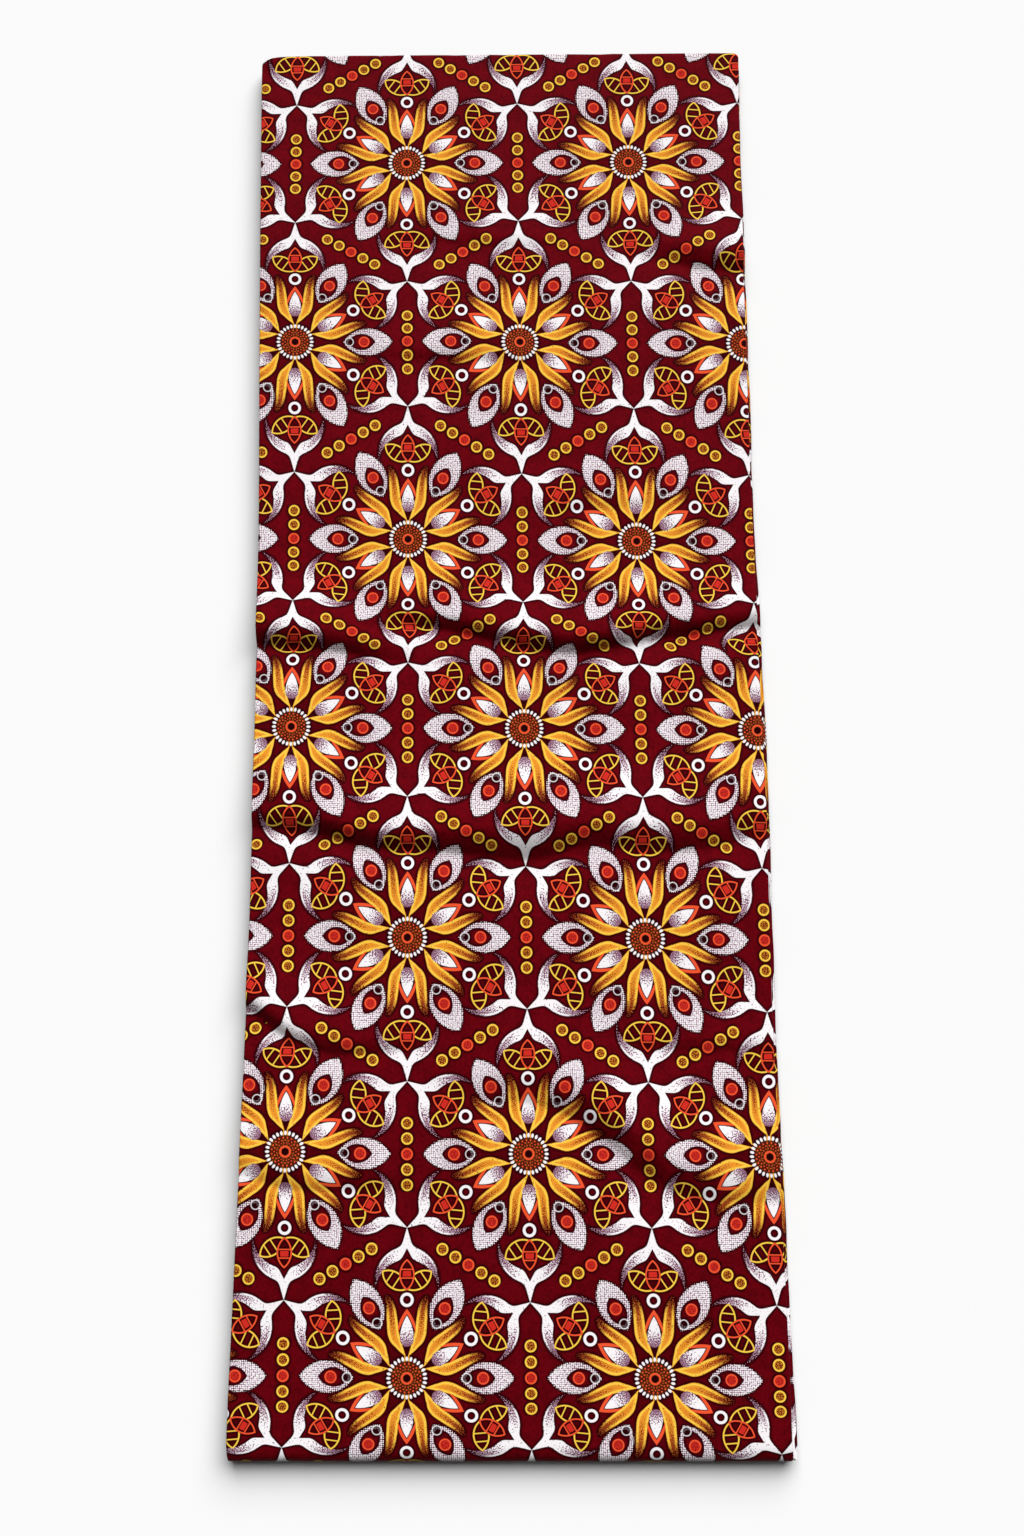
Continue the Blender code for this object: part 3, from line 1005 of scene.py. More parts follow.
def weave_group():
    """The node group that gives the height of a plain weave, one thread over and one under."""
    _, cloth, _ = settings()
    inputs = [
        ("Place", "NodeSocketVector", None),
        ("Thread Pitch", "NodeSocketFloat", cloth.thread_pitch),
    ]
    outputs = [("Height", "NodeSocketFloat")]
    tree, bench, source, target = new_group("plain weave", inputs, outputs)
    place = bench.node("ShaderNodeSeparateXYZ", {0: source["Place"]})
    across = bench.math("SINE", Number(bench, place.outputs[0]) / source["Thread Pitch"] * pi)
    along = bench.math("SINE", Number(bench, place.outputs[1]) / source["Thread Pitch"] * pi)
    warp_over = bench.ramp(across * along, -WEAVE_SOFTNESS, WEAVE_SOFTNESS)
    height = warp_over * abs(across) + (1.0 - warp_over) * abs(along)
    bench.feed(target["Height"], height)
    return tree


def group_named(name, make):
    """A node group that is built once and then reused."""
    return bpy.data.node_groups.get(name) or make()


def cotton_material(name, rubbed=0.0):
    """Printed and starched cotton, made once under its name. It is rougher where it was rubbed."""
    if name in bpy.data.materials:
        return bpy.data.materials[name]
    printed, cloth, _ = settings()
    material = bpy.data.materials.new(name)
    material.use_nodes = True
    bench = Bench(material.node_tree)
    surface = material.node_tree.nodes["Principled BSDF"]
    place = bench.node("ShaderNodeUVMap", uv_map="cloth").outputs["UV"]
    pattern = bench.node("ShaderNodeGroup")
    pattern.node_tree = group_named("hexagonal flower print", flower_print_group)
    bench.feed(pattern.inputs["Place"], place)
    for setting in (*PRINT_SIZES, *PRINT_COLOURS):
        bench.feed(pattern.inputs[socket_label(setting)], getattr(printed, setting))
    weave = bench.node("ShaderNodeGroup")
    weave.node_tree = group_named("plain weave", weave_group)
    bench.feed(weave.inputs["Place"], place)
    bench.feed(weave.inputs["Thread Pitch"], cloth.thread_pitch)
    plain = cloth.roughness + rubbed
    ink = pattern.outputs["Ink"]
    roughness = bench.ramp(ink, 0.0, 1.0, plain, plain - INK_GLOSS, smooth=False)
    relief = weave.outputs["Height"]
    bump = bench.node(
        "ShaderNodeBump",
        {"Strength": WEAVE_STRENGTH, "Distance": cloth.thread_relief, "Height": relief},
    )
    bench.feed(surface.inputs["Base Color"], pattern.outputs["Color"])
    bench.feed(surface.inputs["Roughness"], roughness)
    bench.feed(surface.inputs["Normal"], bump.outputs["Normal"])
    surface.inputs["Sheen Weight"].default_value = cloth.sheen
    surface.inputs["Sheen Roughness"].default_value = SHEEN_ROUGHNESS
    surface.inputs["Sheen Tint"].default_value = SHEEN_TINT
    surface.inputs["Specular Tint"].default_value = SPECULAR_TINT
    surface.inputs["Specular IOR Level"].default_value = SPECULAR_LEVEL
    return material


def smooth_through(rows, place):
    """Values on a smooth curve through (place, value) rows, level beyond the first and last."""
    places, values = np.array(rows, float).T
    at = np.clip(place, places[0], places[-1])
    last = len(places) - 1
    before = np.maximum(np.arange(last + 1) - 1, 0)
    after = np.minimum(np.arange(last + 1) + 1, last)
    slopes = (values[after] - values[before]) / (places[after] - places[before])
    i = np.clip(np.searchsorted(places, at, side="right") - 1, 0, last - 1)
    length = places[i + 1] - places[i]
    t = (at - places[i]) / length
    return (
        values[i] * (1 + 2 * t) * (1 - t) ** 2
        + values[i + 1] * t * t * (3 - 2 * t)
        + slopes[i] * length * t * (1 - t) ** 2
        - slopes[i + 1] * length * t * t * (1 - t)
    )


def soft_step(value):
    """0 up to 0 and 1 from 1, with a soft change between."""
    t = np.clip(value, 0.0, 1.0)
    return t * t * (3 - 2 * t)


def crease_heights(creases, across, from_far):
    """Height over the flat cloth that some creases give."""
    raised = np.zeros(np.broadcast(across, from_far).shape)
    dipped = np.zeros_like(raised)
    for crease in creases:
        knots = np.array(crease.knots)
        spans = (across > knots[0, 0]) & (across < knots[-1, 0])
        rise = np.maximum(smooth_through(knots[:, (0, 2)], across), 0.0)
        steep = smooth_through(knots[:, (0, 3)], across)
        nearer = from_far - smooth_through(knots[:, (0, 1)], across)
        behind = np.exp(-((nearer / crease.gentle) ** 2))
        share = np.maximum(nearer, 0.0) / steep
        brow = 1 - (1 + crease.dip) * share**crease.curl
        dip = -crease.dip * np.exp(-(((share - 1) / DIP_WIDTH) ** 2))
        before = 0.5 * (brow + dip + np.sqrt((brow - dip) ** 2 + KINK_SOFTNESS**2))
        height = np.where(spans, rise * np.where(nearer > 0, before, behind), 0.0)
        raised = np.maximum(raised, height)
        dipped = np.minimum(dipped, height)
    return raised + dipped


def top_relief(across, from_far):
    """Height of the top's creases and broad unevenness over the flat cloth."""
    _, cloth, _ = settings()
    height = crease_heights(TOP_CREASES, across, from_far)
    for swell in SWELLS:
        phase = 2 * pi * (across / swell.across + from_far / swell.along) + swell.start
        fade = soft_step((TOP_RUN - from_far) / SWELL_FADE) * soft_step(from_far / SWELL_FADE)
        height = height + swell.height * np.sin(phase) * fade
    inwards = across - LEFT_FOLD[0][1] - LEFT_SHIFT
    reach, run = CORNER_DROOP_REACH
    droop = CORNER_DROOP * np.exp(-((inwards / reach) ** 2) - (from_far / run) ** 2)
    near_swell = NEAR_SWELL * soft_step(1 - (TOP_RUN - from_far) / NEAR_SWELL_REACH)
    return height * cloth.crease_height - droop + near_swell


def corner_cut(corner, from_far):
    """How far a far corner is turned in at a distance from the far end."""
    width, length = corner
    return width * np.maximum(0.0, 1 - from_far / length) ** CORNER_ROUNDNESS


def top_sides(from_far):
    """Places of the outer strip's left and right folds on top."""
    left = smooth_through(LEFT_FOLD, from_far) + corner_cut(FAR_LEFT_CORNER, from_far)
    right = smooth_through(RIGHT_FOLD, from_far) - corner_cut(FAR_RIGHT_CORNER, from_far)
    return left + LEFT_SHIFT, right + LEFT_SHIFT


def run_stations(first, last, creases):
    """Distances from the far end where a run is divided, closer together at its end and creases."""
    fine = []
    for crease in creases:
        knots = np.array(crease.knots)
        dips = knots[:, 1] + knots[:, 3]
        fine.append((knots[:, 1].min() - BROW_REACH, dips.max() + DIP_REACH))
    places = [first + place for place in END_STATIONS]
    while places[-1] < last - STATION_STEP / 2:
        near = any(start < places[-1] < end for start, end in fine)
        places.append(places[-1] + (CREASE_STEP if near else STATION_STEP))
    places[-1] = last
    return np.array(places)


class Ring:
    """The section of a strip: its points from the left side over the outer face and the right side
    to the inner face.

    share is a point's place from the left end of the flat faces to the right one, stand_out how far
    it stands out as a share of half the thickness, and level its height as a share of all of it."""

    def __init__(self):
        side = np.array(FOLD_ABOVE_EDGE)
        outer = np.linspace(0, 1, COLUMNS)
        inner = np.linspace(1, 0, INNER_FACE_COLUMNS)
        none = np.zeros(len(side))
        self.share = np.concatenate([none, outer, none + 1, inner])
        self.stand_out = np.concatenate([-side[::-1, 0], outer * 0, side[:, 0], inner * 0])
        self.level = np.concatenate([side[::-1, 1], outer * 0 + 0.5, side[:, 1], inner * 0 - 0.5])
        self.first_outer = len(side)
        steps = np.where(self.level == -0.5, INNER_FACE_BAKE_SHARE, 1.0)
        steps[self.stand_out != 0] = SIDE_BAKE_SHARE
        spread = np.concatenate([[0.0], np.cumsum(steps)])
        self.bake_share = spread / spread[-1]


def ring_points(ring, left, right, thickness):
    """Places across and offsets outwards of a strip's sections, one row for each station."""
    half = thickness / 2
    first = left + half
    last = right - half
    across = first + ring.share * (last - first) + ring.stand_out * half
    return across, ring.level * thickness


def across_the_print(across, from_far):
    """How far across the print the cloth lies, at its place across and distance from the far end."""
    draw = smooth_through(PRINT_DRAW, from_far)
    return across + (across - PRINT_DRAW_FROM) * draw - FLOWER_ACROSS


def down_the_print(run, across):
    """How far along the print the cloth lies, at its run from the far end and its place across."""
    first, last = PRINT_SKEW_STARTS
    skew = PRINT_SKEW * soft_step((run - first) / (last - first))
    return -(run + smooth_through(PRINT_PULL, run) - skew * across - FLOWER_FROM_FAR)


def print_across(ring, points):
    """How far across the print each point lies. The first point comes again at the end."""
    closed = np.concatenate([points, points[:, :1]], axis=1)
    steps = np.linalg.norm(np.diff(closed, axis=1), axis=2)
    run = np.concatenate([np.zeros((len(points), 1)), np.cumsum(steps, axis=1)], axis=1)
    middle = ring.first_outer + COLUMNS // 2
    across = run + (points[:, middle, 0] - run[:, middle])[:, None]
    return across_the_print(across, (FAR_END - points[:, middle, 1])[:, None])


def print_run(points):
    """Distance down each column from its first section."""
    steps = np.linalg.norm(np.diff(points[:, :, 1:], axis=0), axis=2)
    return np.concatenate([np.zeros((1, points.shape[1])), np.cumsum(steps, axis=0)])


def print_along(ring, points, start):
    """How far along the print each point lies, by its column's own run and the mean one."""
    run = print_run(points) + start
    mean = run[:, ring.first_outer : ring.first_outer + COLUMNS].mean(axis=1, keepdims=True)
    run = mean + (run - mean) * PRINT_FOLLOWS_COLUMN
    along = down_the_print(run, points[..., 0])
    return np.concatenate([along, along[:, :1]], axis=1)


def cell_corners(first, second, next_second):
    """The index pairs of the four corners of some cells in a grid."""
    return (first, second), (first + 1, second), (first + 1, next_second), (first, next_second)


def strip_mesh(name, ring, points, across, along):
    """A closed strip from its sections, with its place in the print and a flat map for baking."""
    halves_at = len(points) // 2
    stations, count = points.shape[:2]
    vertices = points.reshape(-1, 3)
    i, j = (grid.reshape(-1) for grid in np.indices((stations - 1, count)))
    rounded = cell_corners(i, j, (j + 1) % count)
    quads = np.stack([row * count + column for row, column in rounded], -1)
    far_cap = list(range(count))
    near_cap = [(stations - 1) * count + n for n in range(count)][::-1]
    faces = quads.tolist() + [far_cap, near_cap]
    corners = cell_corners(i, j, j + 1)
    place = np.stack([np.stack([across[c], along[c]], -1) for c in corners], 1).reshape(-1, 2)

    # The bake map has the first half of the run on the left and the rest on the right
    run = np.concatenate([[0.0], np.cumsum(np.abs(np.diff(along[:, count // 2])))])
    is_first = i < halves_at
    baked = []
    for row, column in corners:
        first_share = run[row] / run[halves_at]
        second_share = (run[row] - run[halves_at]) / (run[-1] - run[halves_at])
        u = np.where(is_first, *HALF_STARTS) + HALF_WIDTH * ring.bake_share[column]
        v = RUN_TOP - RUN_HEIGHT * np.where(is_first, first_share, second_share)
        baked.append(np.stack([u, v], -1))
    baked = np.stack(baked, 1).reshape(-1, 2)
    caps = []
    for cap, station, start in zip((far_cap, near_cap), (0, stations - 1), CAP_STARTS):
        columns = np.array(cap) % count
        width = np.ptp(points[station, :, 0])
        from_left = points[station, columns, 0] - points[station, :, 0].min()
        u = start + CAP_WIDTH * from_left / width
        caps.append(np.stack([u, CAP_MIDDLE + CAP_HEIGHT * ring.level[columns]], -1))
        place = np.concatenate(
            [place, np.stack([across[station, columns], along[station, columns]], -1)]
        )
    baked = np.concatenate([baked, *caps])
    return finished_mesh(name, vertices, faces, place, baked)


def finished_mesh(name, vertices, faces, place, baked):
    """A smooth-shaded object with the cloth's own measure and the bake map as its two UV maps."""
    mesh = bpy.data.meshes.new(name)
    mesh.from_pydata(vertices.tolist(), [], faces)
    for label, values in (("cloth", place), ("OFBake", baked)):
        layer = mesh.uv_layers.new(name=label)
        layer.uv.foreach_set("vector", np.asarray(values, np.float32).reshape(-1))
    mesh.shade_smooth()
    mesh.set_sharp_from_angle(angle=SHARP_ANGLE)
    mesh.update()
    if mesh.validate():
        raise RuntimeError(f"{name} has faces that aren't sound")
    thing = bpy.data.objects.new(name, mesh)
    bpy.context.scene.collection.objects.link(thing)
    return thing


def dress(thing, material, node):
    """Gives a piece its material, hangs it under the root and hides the solid that it stands for."""
    thing.data.materials.append(material)
    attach(thing, "root")
    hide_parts(node)


def near_fold_line():
    """The near fold's middle line: out, level, and the same two parts of its outward normal."""
    turn = np.linspace(0, pi, NEAR_FOLD_SAMPLES)
    power = 2 / np.where(turn < pi / 2, *NEAR_FOLD_SQUARENESS)
    lowest = STRIP_THICKNESS / 2
    highest = PILE_HEIGHT + NEAR_SWELL - STRIP_THICKNESS / 2
    rise = np.sign(np.cos(turn)) * np.abs(np.cos(turn)) ** power
    out = NEAR_FOLD_DEPTH * np.abs(np.sin(turn)) ** power
    level = (highest + lowest) / 2 + rise * (highest - lowest) / 2
    run = np.concatenate([[0], np.cumsum(np.hypot(np.diff(out), np.diff(level)))])
    at = np.linspace(0, run[-1], NEAR_FOLD_STEPS + 1)
    out, level = np.interp(at, run, out), np.interp(at, run, level)
    forward = np.gradient(out)
    downward = -np.gradient(level)
    length = np.hypot(forward, downward)
    return out, level, downward / length, forward / length


def near_lean(across):
    """How much further than usual the near fold reaches at some places across, as a factor."""
    left, right = top_sides(np.array([TOP_RUN]))
    return 1 + NEAR_SKEW * (2 * across - left - right) / (right - left)


def room_in_near_fold(level):
    """How far beyond the straight run the inner strips reach in the near fold at some heights."""
    out, middle, outwards, upwards = near_fold_line()
    inside = out - NEAR_FOLD_ROOM * outwards
    height = middle - NEAR_FOLD_ROOM * upwards
    widest = int(np.argmax(inside))
    above = np.interp(level, np.maximum.accumulate(height[widest::-1]), inside[widest::-1])
    rising = np.maximum.accumulate(height[: widest - 1 : -1])
    below = np.interp(level, rising, inside[: widest - 1 : -1])
    return np.maximum(np.minimum(above, below), NEAR_FOLD_LEAST)


def top_sections():
    """Sections of the top strip from its cut far end, over the pile and round the near fold."""
    ring = Ring()
    stations = run_stations(0.0, TOP_RUN, TOP_CREASES)[:, None]
    thickness = STRIP_THICKNESS * np.interp(stations, *np.array(END_TAPER).T)
    left, right = top_sides(stations)
    across, offset = ring_points(ring, left, right, thickness)
    half = STRIP_THICKNESS / 2
    lift = top_relief(np.clip(across, left + half, right - half), stations)
    wave = sum(size * np.sin(across * rate + start) for size, rate, start in END_WAVES)
    wave = END_WAVE * np.abs(wave) * soft_step(1 - stations / END_WAVE_REACH)
    top = np.stack([across, FAR_END - stations - wave, PILE_HEIGHT - half + lift + offset], -1)

    out, level, outwards, upwards = (line[1:, None] for line in near_fold_line())
    turns = np.linspace(0, 1, NEAR_FOLD_STEPS + 1)[1:, None]
    left, right = top_sides(np.full_like(turns, TOP_RUN))
    across, offset = ring_points(
        ring,
        left + UNDER_LEFT_INSET * turns,
        right + UNDER_RIGHT_OUTSET * turns,
        np.full_like(turns, STRIP_THICKNESS),
    )
    y = FAR_END - TOP_RUN - (out + offset * outwards) * near_lean(across)
    fold = np.stack([across, y, level + offset * upwards], -1)
    return ring, np.concatenate([top, fold])


def top_strip():
    """The top strip's mesh."""
    ring, points = top_sections()
    along = print_along(ring, points, 0.0)
    return strip_mesh("top_strip", ring, points, print_across(ring, points), along)


def under_strip():
    """The under strip's mesh, from the near fold on the table back to its cut far end."""
    ring, top_points = top_sections()
    start = np.median(print_run(top_points)[-1])
    stations = run_stations(UNDER_SETBACK, TOP_RUN, UNDER_CREASES)[::-1, None]
    taper = np.interp(stations - UNDER_SETBACK, *np.array(END_TAPER).T)
    left, right = top_sides(stations)
    across, offset = ring_points(
        ring, left + UNDER_LEFT_INSET, right + UNDER_RIGHT_OUTSET, STRIP_THICKNESS * taper
    )
    pressed = crease_heights(UNDER_CREASES, across, stations) * (0.5 + ring.level)
    z = STRIP_THICKNESS * taper / 2 - offset + pressed
    points = np.stack([across, np.broadcast_to(FAR_END - stations, z.shape), z], -1)
    along = print_along(ring, points, start)
    return strip_mesh("under_strip", ring, points, print_across(ring, points), along)


def stray(strip, place):
    """How far a fold strays sideways along the pile."""
    return sum(
        size * np.sin(2 * pi * place / length + turns * strip.phase)
        for size, length, turns in WANDERS
    )


def end_shares():
    """Places across an end from 0 to 1, closer together towards both sides."""
    return 0.5 - 0.5 * np.cos(pi * np.linspace(0, 1, END_COLUMNS))


def behind_corner(across, left):
    """How far from the far end a point lies that the turned-in far left corner just covers."""
    width, length = FAR_LEFT_CORNER
    share = np.clip((across - left) / width, 0, 1)
    return length * (1 - share ** (1 / CORNER_ROUNDNESS)) + CORNER_CLEARANCE


def inner_level(strip, number, profile_row, stations):
    """One level of the inner strips: its rim from the far left corner round to there again."""
    (left_height, left_inset), (right_height, right_inset) = profile_row
    top_left, top_right = top_sides(stations)
    wander = stray(strip, stations)
    left = top_left + strip.left_inset + wander + left_inset * GROOVE
    reach = smooth_through(RIGHT_REACH, stations)
    right = top_right + strip.right_share * reach + wander - right_inset * GROOVE
    share = end_shares()
    inset = left_inset + (right_inset - left_inset) * share
    far_x = left[0] + (right[0] - left[0]) * share
    far_wander = FAR_WANDER * np.abs(stray(strip, far_x * FAR_WANDER_PACE))
    far_inset = strip.far_setback + inset * GROOVE + far_wander
    far_inset = np.maximum(far_inset, behind_corner(far_x, top_left[0]))
    near_x = left[-1] + (right[-1] - left[-1]) * share
    x = np.concatenate([far_x, right, near_x[::-1], left[::-1]])
    blend = np.concatenate([share, stations * 0 + 1, share[::-1], stations * 0])
    height = left_height + (right_height - left_height) * blend
    level = (number + height) * INNER_STRIP_THICKNESS
    from_far = np.concatenate(
        [far_inset, stations, np.full(END_COLUMNS, stations[-1]), stations[::-1]]
    )
    edge = STRIP_THICKNESS / 2
    cover_left, cover_right = top_sides(from_far)
    lift = top_relief(np.clip(x, cover_left + edge, cover_right - edge), from_far)
    z = STRIP_THICKNESS + GAP + level + lift * level / (len(STRIPS) * INNER_STRIP_THICKNESS)
    beyond = soft_step((x - top_right[-1]) / END_TAPER[-1][0]) * strip.right_share
    near_reach = (room_in_near_fold(z) + NEAR_CORNER_REACH * beyond) * near_lean(x)
    is_near = rim_side(len(stations)) == NEAR_SIDE
    return np.stack([x, FAR_END - from_far - np.where(is_near, near_reach, 0.0), z], -1)


def rim_side(station_count):
    """Which side of the pile each point of a level's rim is on."""
    counts = (END_COLUMNS, station_count, END_COLUMNS, station_count)
    return np.repeat((FAR_SIDE, RIGHT_SIDE, NEAR_SIDE, LEFT_SIDE), counts)


def inner_rings(stations):
    """Rims of all levels of the inner strips, from the lowest to the highest."""
    rings = []
    for number, strip in enumerate(STRIPS):
        sides = (FOLD_OVER_EDGE, EDGE_OVER_FOLD)[:: 1 if number % 2 else -1]
        rings += [inner_level(strip, number, row, stations) for row in zip(*sides)]
    top_row = ((1.0, FOLD_OVER_EDGE[0][1]), (1.0, FOLD_OVER_EDGE[0][1]))
    rings.append(inner_level(STRIPS[-1], len(STRIPS) - 1, top_row, stations))
    return np.array(rings)


def print_from_above(points):
    """Where in the print some points lie, as the top strip has it right above them."""
    ring, sections = top_sections()
    middle = ring.first_outer + COLUMNS // 2
    count = len(run_stations(0.0, TOP_RUN, TOP_CREASES))
    outer = slice(ring.first_outer, ring.first_outer + COLUMNS)
    mean_run = print_run(sections)[:count, outer].mean(axis=1)
    run = np.interp(-points[..., 1], -sections[:count, middle, 1], mean_run)
    across = across_the_print(points[..., 0], FAR_END - points[..., 1])
    return np.stack([across, down_the_print(run, points[..., 0])], -1)


def inner_rim(points, station_count):
    """Faces round the inner strips, each corner's place in the print and on the bake map."""
    levels, count = points.shape[:2]
    k, j = (grid.reshape(-1) for grid in np.indices((levels - 1, count)))
    following = (j + 1) % count
    faces = np.stack([row * count + col for row, col in cell_corners(k, j, following)], -1)

    # The print goes on outwards from the top and turns down over each strip's fold
    above = print_from_above(points)
    outwards = np.array(OUTWARDS, float)[rim_side(station_count)]
    up = np.linalg.norm(np.diff(points, axis=0), axis=2)
    up = np.concatenate([np.zeros((1, count)), np.cumsum(up, axis=0)])
    rows = len(FOLD_OVER_EDGE)
    strip_top = (k // rows + 1) * rows
    place = [
        above[row, col] + outwards[col] * (up[strip_top, col] - up[row, col])[:, None]
        for row, col in cell_corners(k, j, following)
    ]

    # The bake map cuts the rim into bands and lays them one above another
    length = int(np.ceil(count / RIM_BANDS))
    band = j // length
    baked = []
    for row, col in cell_corners(k, j, j + 1):
        u = RIM_START + RIM_WIDTH * (col - band * length) / length
        v = band + BAND_START + BAND_HEIGHT * row / (levels - 1)
        v = RIM_START + RIM_HEIGHT * v / RIM_BANDS
        baked.append(np.stack([u, v], -1))
    return faces, np.stack(place, 1).reshape(-1, 2), np.stack(baked, 1).reshape(-1, 2)


def inner_face(vertices, rim, stations, bake_start, is_top):
    """The flat face across the inner strips' lowest or highest rim, with the vertices it adds."""
    far_row, right_side, near_row, left_side = np.split(
        rim, np.cumsum([END_COLUMNS, len(stations), END_COLUMNS])
    )
    shares = end_shares()[1:-1, None]
    rows = [far_row]
    for first, last, from_far in zip(left_side[::-1], right_side, stations):
        between = vertices[first] + (vertices[last] - vertices[first]) * shares
        if is_top:
            relief = top_relief(between[:, 0], np.full(len(between), from_far))
            between[:, 2] = vertices[first, 2] + relief
            between[:, 2] -= top_relief(vertices[first, 0], np.array(from_far))
        rows.append(np.concatenate([[first], len(vertices) + np.arange(len(between)), [last]]))
        vertices = np.concatenate([vertices, between])
    rows.append(near_row[::-1])
    grid = np.array(rows)
    n, m = (index.reshape(-1) for index in np.indices((len(rows) - 1, END_COLUMNS - 1)))
    corners = cell_corners(n, m, m + 1)[:: 1 if is_top else -1]
    faces = np.stack([grid[corner] for corner in corners], -1)
    baked = []
    for a, b in corners:
        u = bake_start + CAP_WIDTH * a / len(rows)
        baked.append(np.stack([u, FACE_START + FACE_HEIGHT * b / END_COLUMNS], -1))
    return vertices, faces, np.stack(baked, 1).reshape(-1, 2)


def inner_folds():
    """The strips in between as one piece: folds of two layers over edges of one, and so on."""
    stations = run_stations(FIRST_INNER_ROW, TOP_RUN, TOP_CREASES)
    stations = stations[stations > FIRST_INNER_ROW + FIRST_INNER_STEP]
    points = inner_rings(stations)
    levels, count = points.shape[:2]
    faces, place, baked = inner_rim(points, len(stations))
    vertices = points.reshape(-1, 3)
    for level, bake_start in zip((0, levels - 1), CAP_STARTS):
        rim = np.arange(count) + level * count
        vertices, more, more_baked = inner_face(vertices, rim, stations, bake_start, level > 0)
        faces = np.concatenate([faces, more])
        place = np.concatenate([place, print_from_above(vertices[more.reshape(-1)])])
        baked = np.concatenate([baked, more_baked])
    return finished_mesh("inner_folds", vertices, faces.tolist(), place, baked)


class CLOTH_OT_lay_stage(bpy.types.Operator):
    """Lay the pale table, the soft light and the camera."""

    bl_idname = "cloth.lay_stage"
    bl_label = "Table, Light and Camera"

    def execute(self, context):
        lay_table()
        light_studio()
        place_camera()
        return {"FINISHED"}


class CLOTH_OT_wrap_top_strip(bpy.types.Operator):
    """Build the creased top strip and its fold round the near end."""

    bl_idname = "cloth.wrap_top_strip"
    bl_label = "Top Strip"

    def execute(self, context):
        dress(
            top_strip(),
            cotton_material("printed cotton"),
            "outer_strip",
        )
        return {"FINISHED"}


class CLOTH_OT_lay_under_strip(bpy.types.Operator):
    """Build the under strip, which the pile rests on."""

    bl_idname = "cloth.lay_under_strip"
    bl_label = "Under Strip"

    def execute(self, context):
        dress(
            under_strip(),
            cotton_material("printed cotton"),
            "outer_strip",
        )
        return {"FINISHED"}


class CLOTH_OT_stack_inner_folds(bpy.types.Operator):
    """Build the folds and edges that show between the top strip and the under strip."""

    bl_idname = "cloth.stack_inner_folds"
    bl_label = "Inner Folds"

    def execute(self, context):
        dress(
            inner_folds(),
            cotton_material("printed cotton, folded edges", rubbed=FOLDED_EDGE_WEAR),
            "inner_strips",
        )
        return {"FINISHED"}


def lay_table():
    """A wide, plain, pale surface at the height where the cloth rests."""
    _, _, studio = settings()
    signs = ((-1, -1), (1, -1), (1, 1), (-1, 1))
    corners = [(x * TABLE_HALF, y * TABLE_HALF, 0.0) for x, y in signs]
    mesh = bpy.data.meshes.new("table_top")
    mesh.from_pydata(corners, [], [(0, 1, 2, 3)])
    material = bpy.data.materials.new("pale table")
    material.use_nodes = True
    surface = material.node_tree.nodes["Principled BSDF"]
    bench = Bench(material.node_tree)
    given_back = tuple(value * studio.table_bounce for value in studio.table[:3]) + (1.0,)
    is_bounce = bench.node("ShaderNodeLightPath").outputs["Is Diffuse Ray"]
    bench.feed(surface.inputs["Base Color"], bench.mix(is_bounce, tuple(studio.table), given_back))
    surface.inputs["Roughness"].default_value = TABLE_ROUGHNESS
    surface.inputs["Specular IOR Level"].default_value = TABLE_SPECULAR
    mesh.materials.append(material)
    table = bpy.data.objects.new("table_top", mesh)
    bpy.context.scene.collection.objects.link(table)


def light_studio():
    """One broad soft light from the far side, slightly to the right, and even light all round."""
    _, _, studio = settings()
    key = bpy.data.lights.new("key", "SUN")
    key.energy = studio.key_strength
    key.angle = studio.key_softness
    lamp = bpy.data.objects.new("key", key)
    lamp.rotation_euler = (-(pi / 2 - studio.key_height), 0.0, -studio.key_turn)
    lamp.location = KEY_PLACE
    bpy.context.scene.collection.objects.link(lamp)
    world = bpy.data.worlds.new("soft room")
    world.use_nodes = True
    background = world.node_tree.nodes["Background"]
    background.inputs["Color"].default_value = (1.0, 1.0, 1.0, 1.0)
    background.inputs["Strength"].default_value = studio.fill_strength
    bpy.context.scene.world = world
    bpy.context.scene.view_settings.view_transform = "Standard"


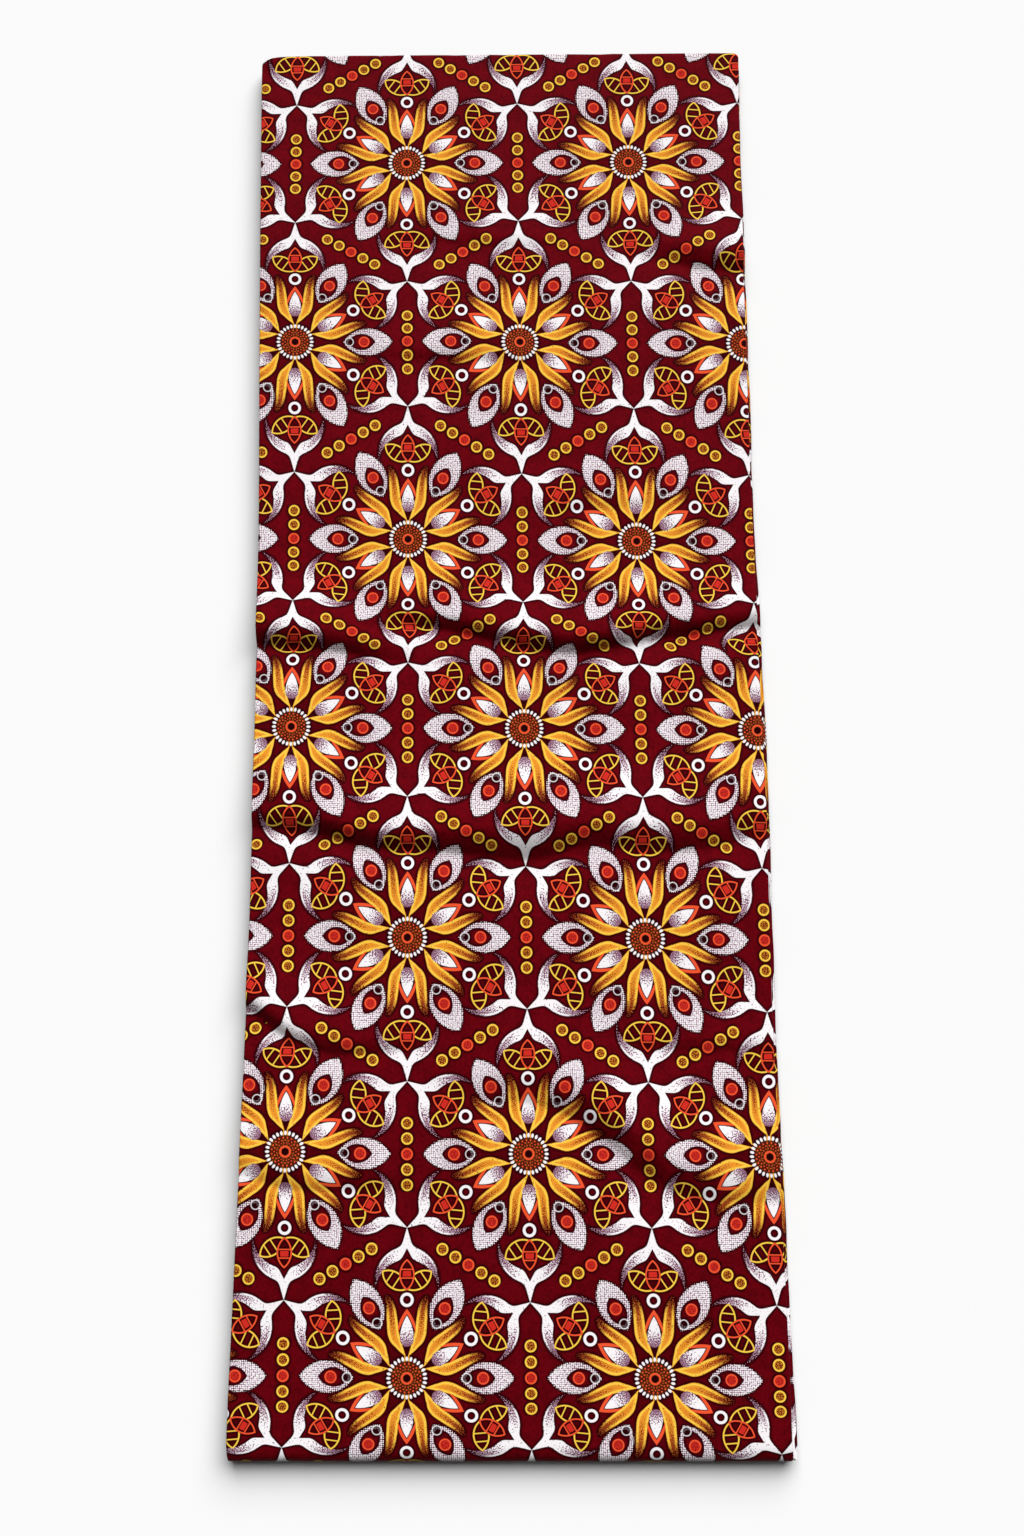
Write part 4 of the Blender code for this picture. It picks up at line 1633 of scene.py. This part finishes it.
def place_camera():
    """The camera above the near half of the cloth, looking down and slightly forwards."""
    camera = bpy.data.cameras.new("camera")
    camera.lens = CAMERA_LENS
    camera.sensor_width = CAMERA_SENSOR
    camera.clip_start = CAMERA_NEAREST
    holder = bpy.data.objects.new("camera", camera)
    holder.location = CAMERA_PLACE
    holder.rotation_euler = (CAMERA_TILT, 0.0, CAMERA_TURN)
    bpy.context.scene.collection.objects.link(holder)
    bpy.context.scene.camera = holder


class VIEW3D_PT_folded_cotton(bpy.types.Panel):
    """Lists the steps that build the cloth, and its settings."""

    bl_label = "Folded Cotton"
    bl_space_type = "VIEW_3D"
    bl_region_type = "UI"
    bl_category = "Cloth"

    def draw(self, context):
        column = self.layout.column(align=True)
        for operator in OPERATORS:
            column.operator(operator.bl_idname)
        for group in settings():
            box = self.layout.box()
            for name in group.bl_rna.properties.keys():
                if name not in ("rna_type", "name"):
                    box.prop(group, name)


SETTINGS = (PrintSettings, ClothSettings, StudioSettings)
OPERATORS = (
    CLOTH_OT_lay_stage,
    CLOTH_OT_wrap_top_strip,
    CLOTH_OT_lay_under_strip,
    CLOTH_OT_stack_inner_folds,
)
CLASSES = (*SETTINGS, *OPERATORS, VIEW3D_PT_folded_cotton)


def register():
    """Adds the settings, operators and panel to Blender."""
    for item in CLASSES:
        bpy.utils.register_class(item)
    bpy.types.Scene.cotton_print = PointerProperty(type=PrintSettings)
    bpy.types.Scene.cotton_cloth = PointerProperty(type=ClothSettings)
    bpy.types.Scene.cotton_studio = PointerProperty(type=StudioSettings)


def unregister():
    """Takes them away again."""
    del bpy.types.Scene.cotton_studio
    del bpy.types.Scene.cotton_cloth
    del bpy.types.Scene.cotton_print
    for item in reversed(CLASSES):
        bpy.utils.unregister_class(item)


def main():
    """Builds the stage and each piece."""
    register()
    bpy.ops.cloth.lay_stage()
    bpy.ops.cloth.wrap_top_strip()
    bpy.ops.cloth.lay_under_strip()
    bpy.ops.cloth.stack_inner_folds()


if __name__ == "__main__":
    main()
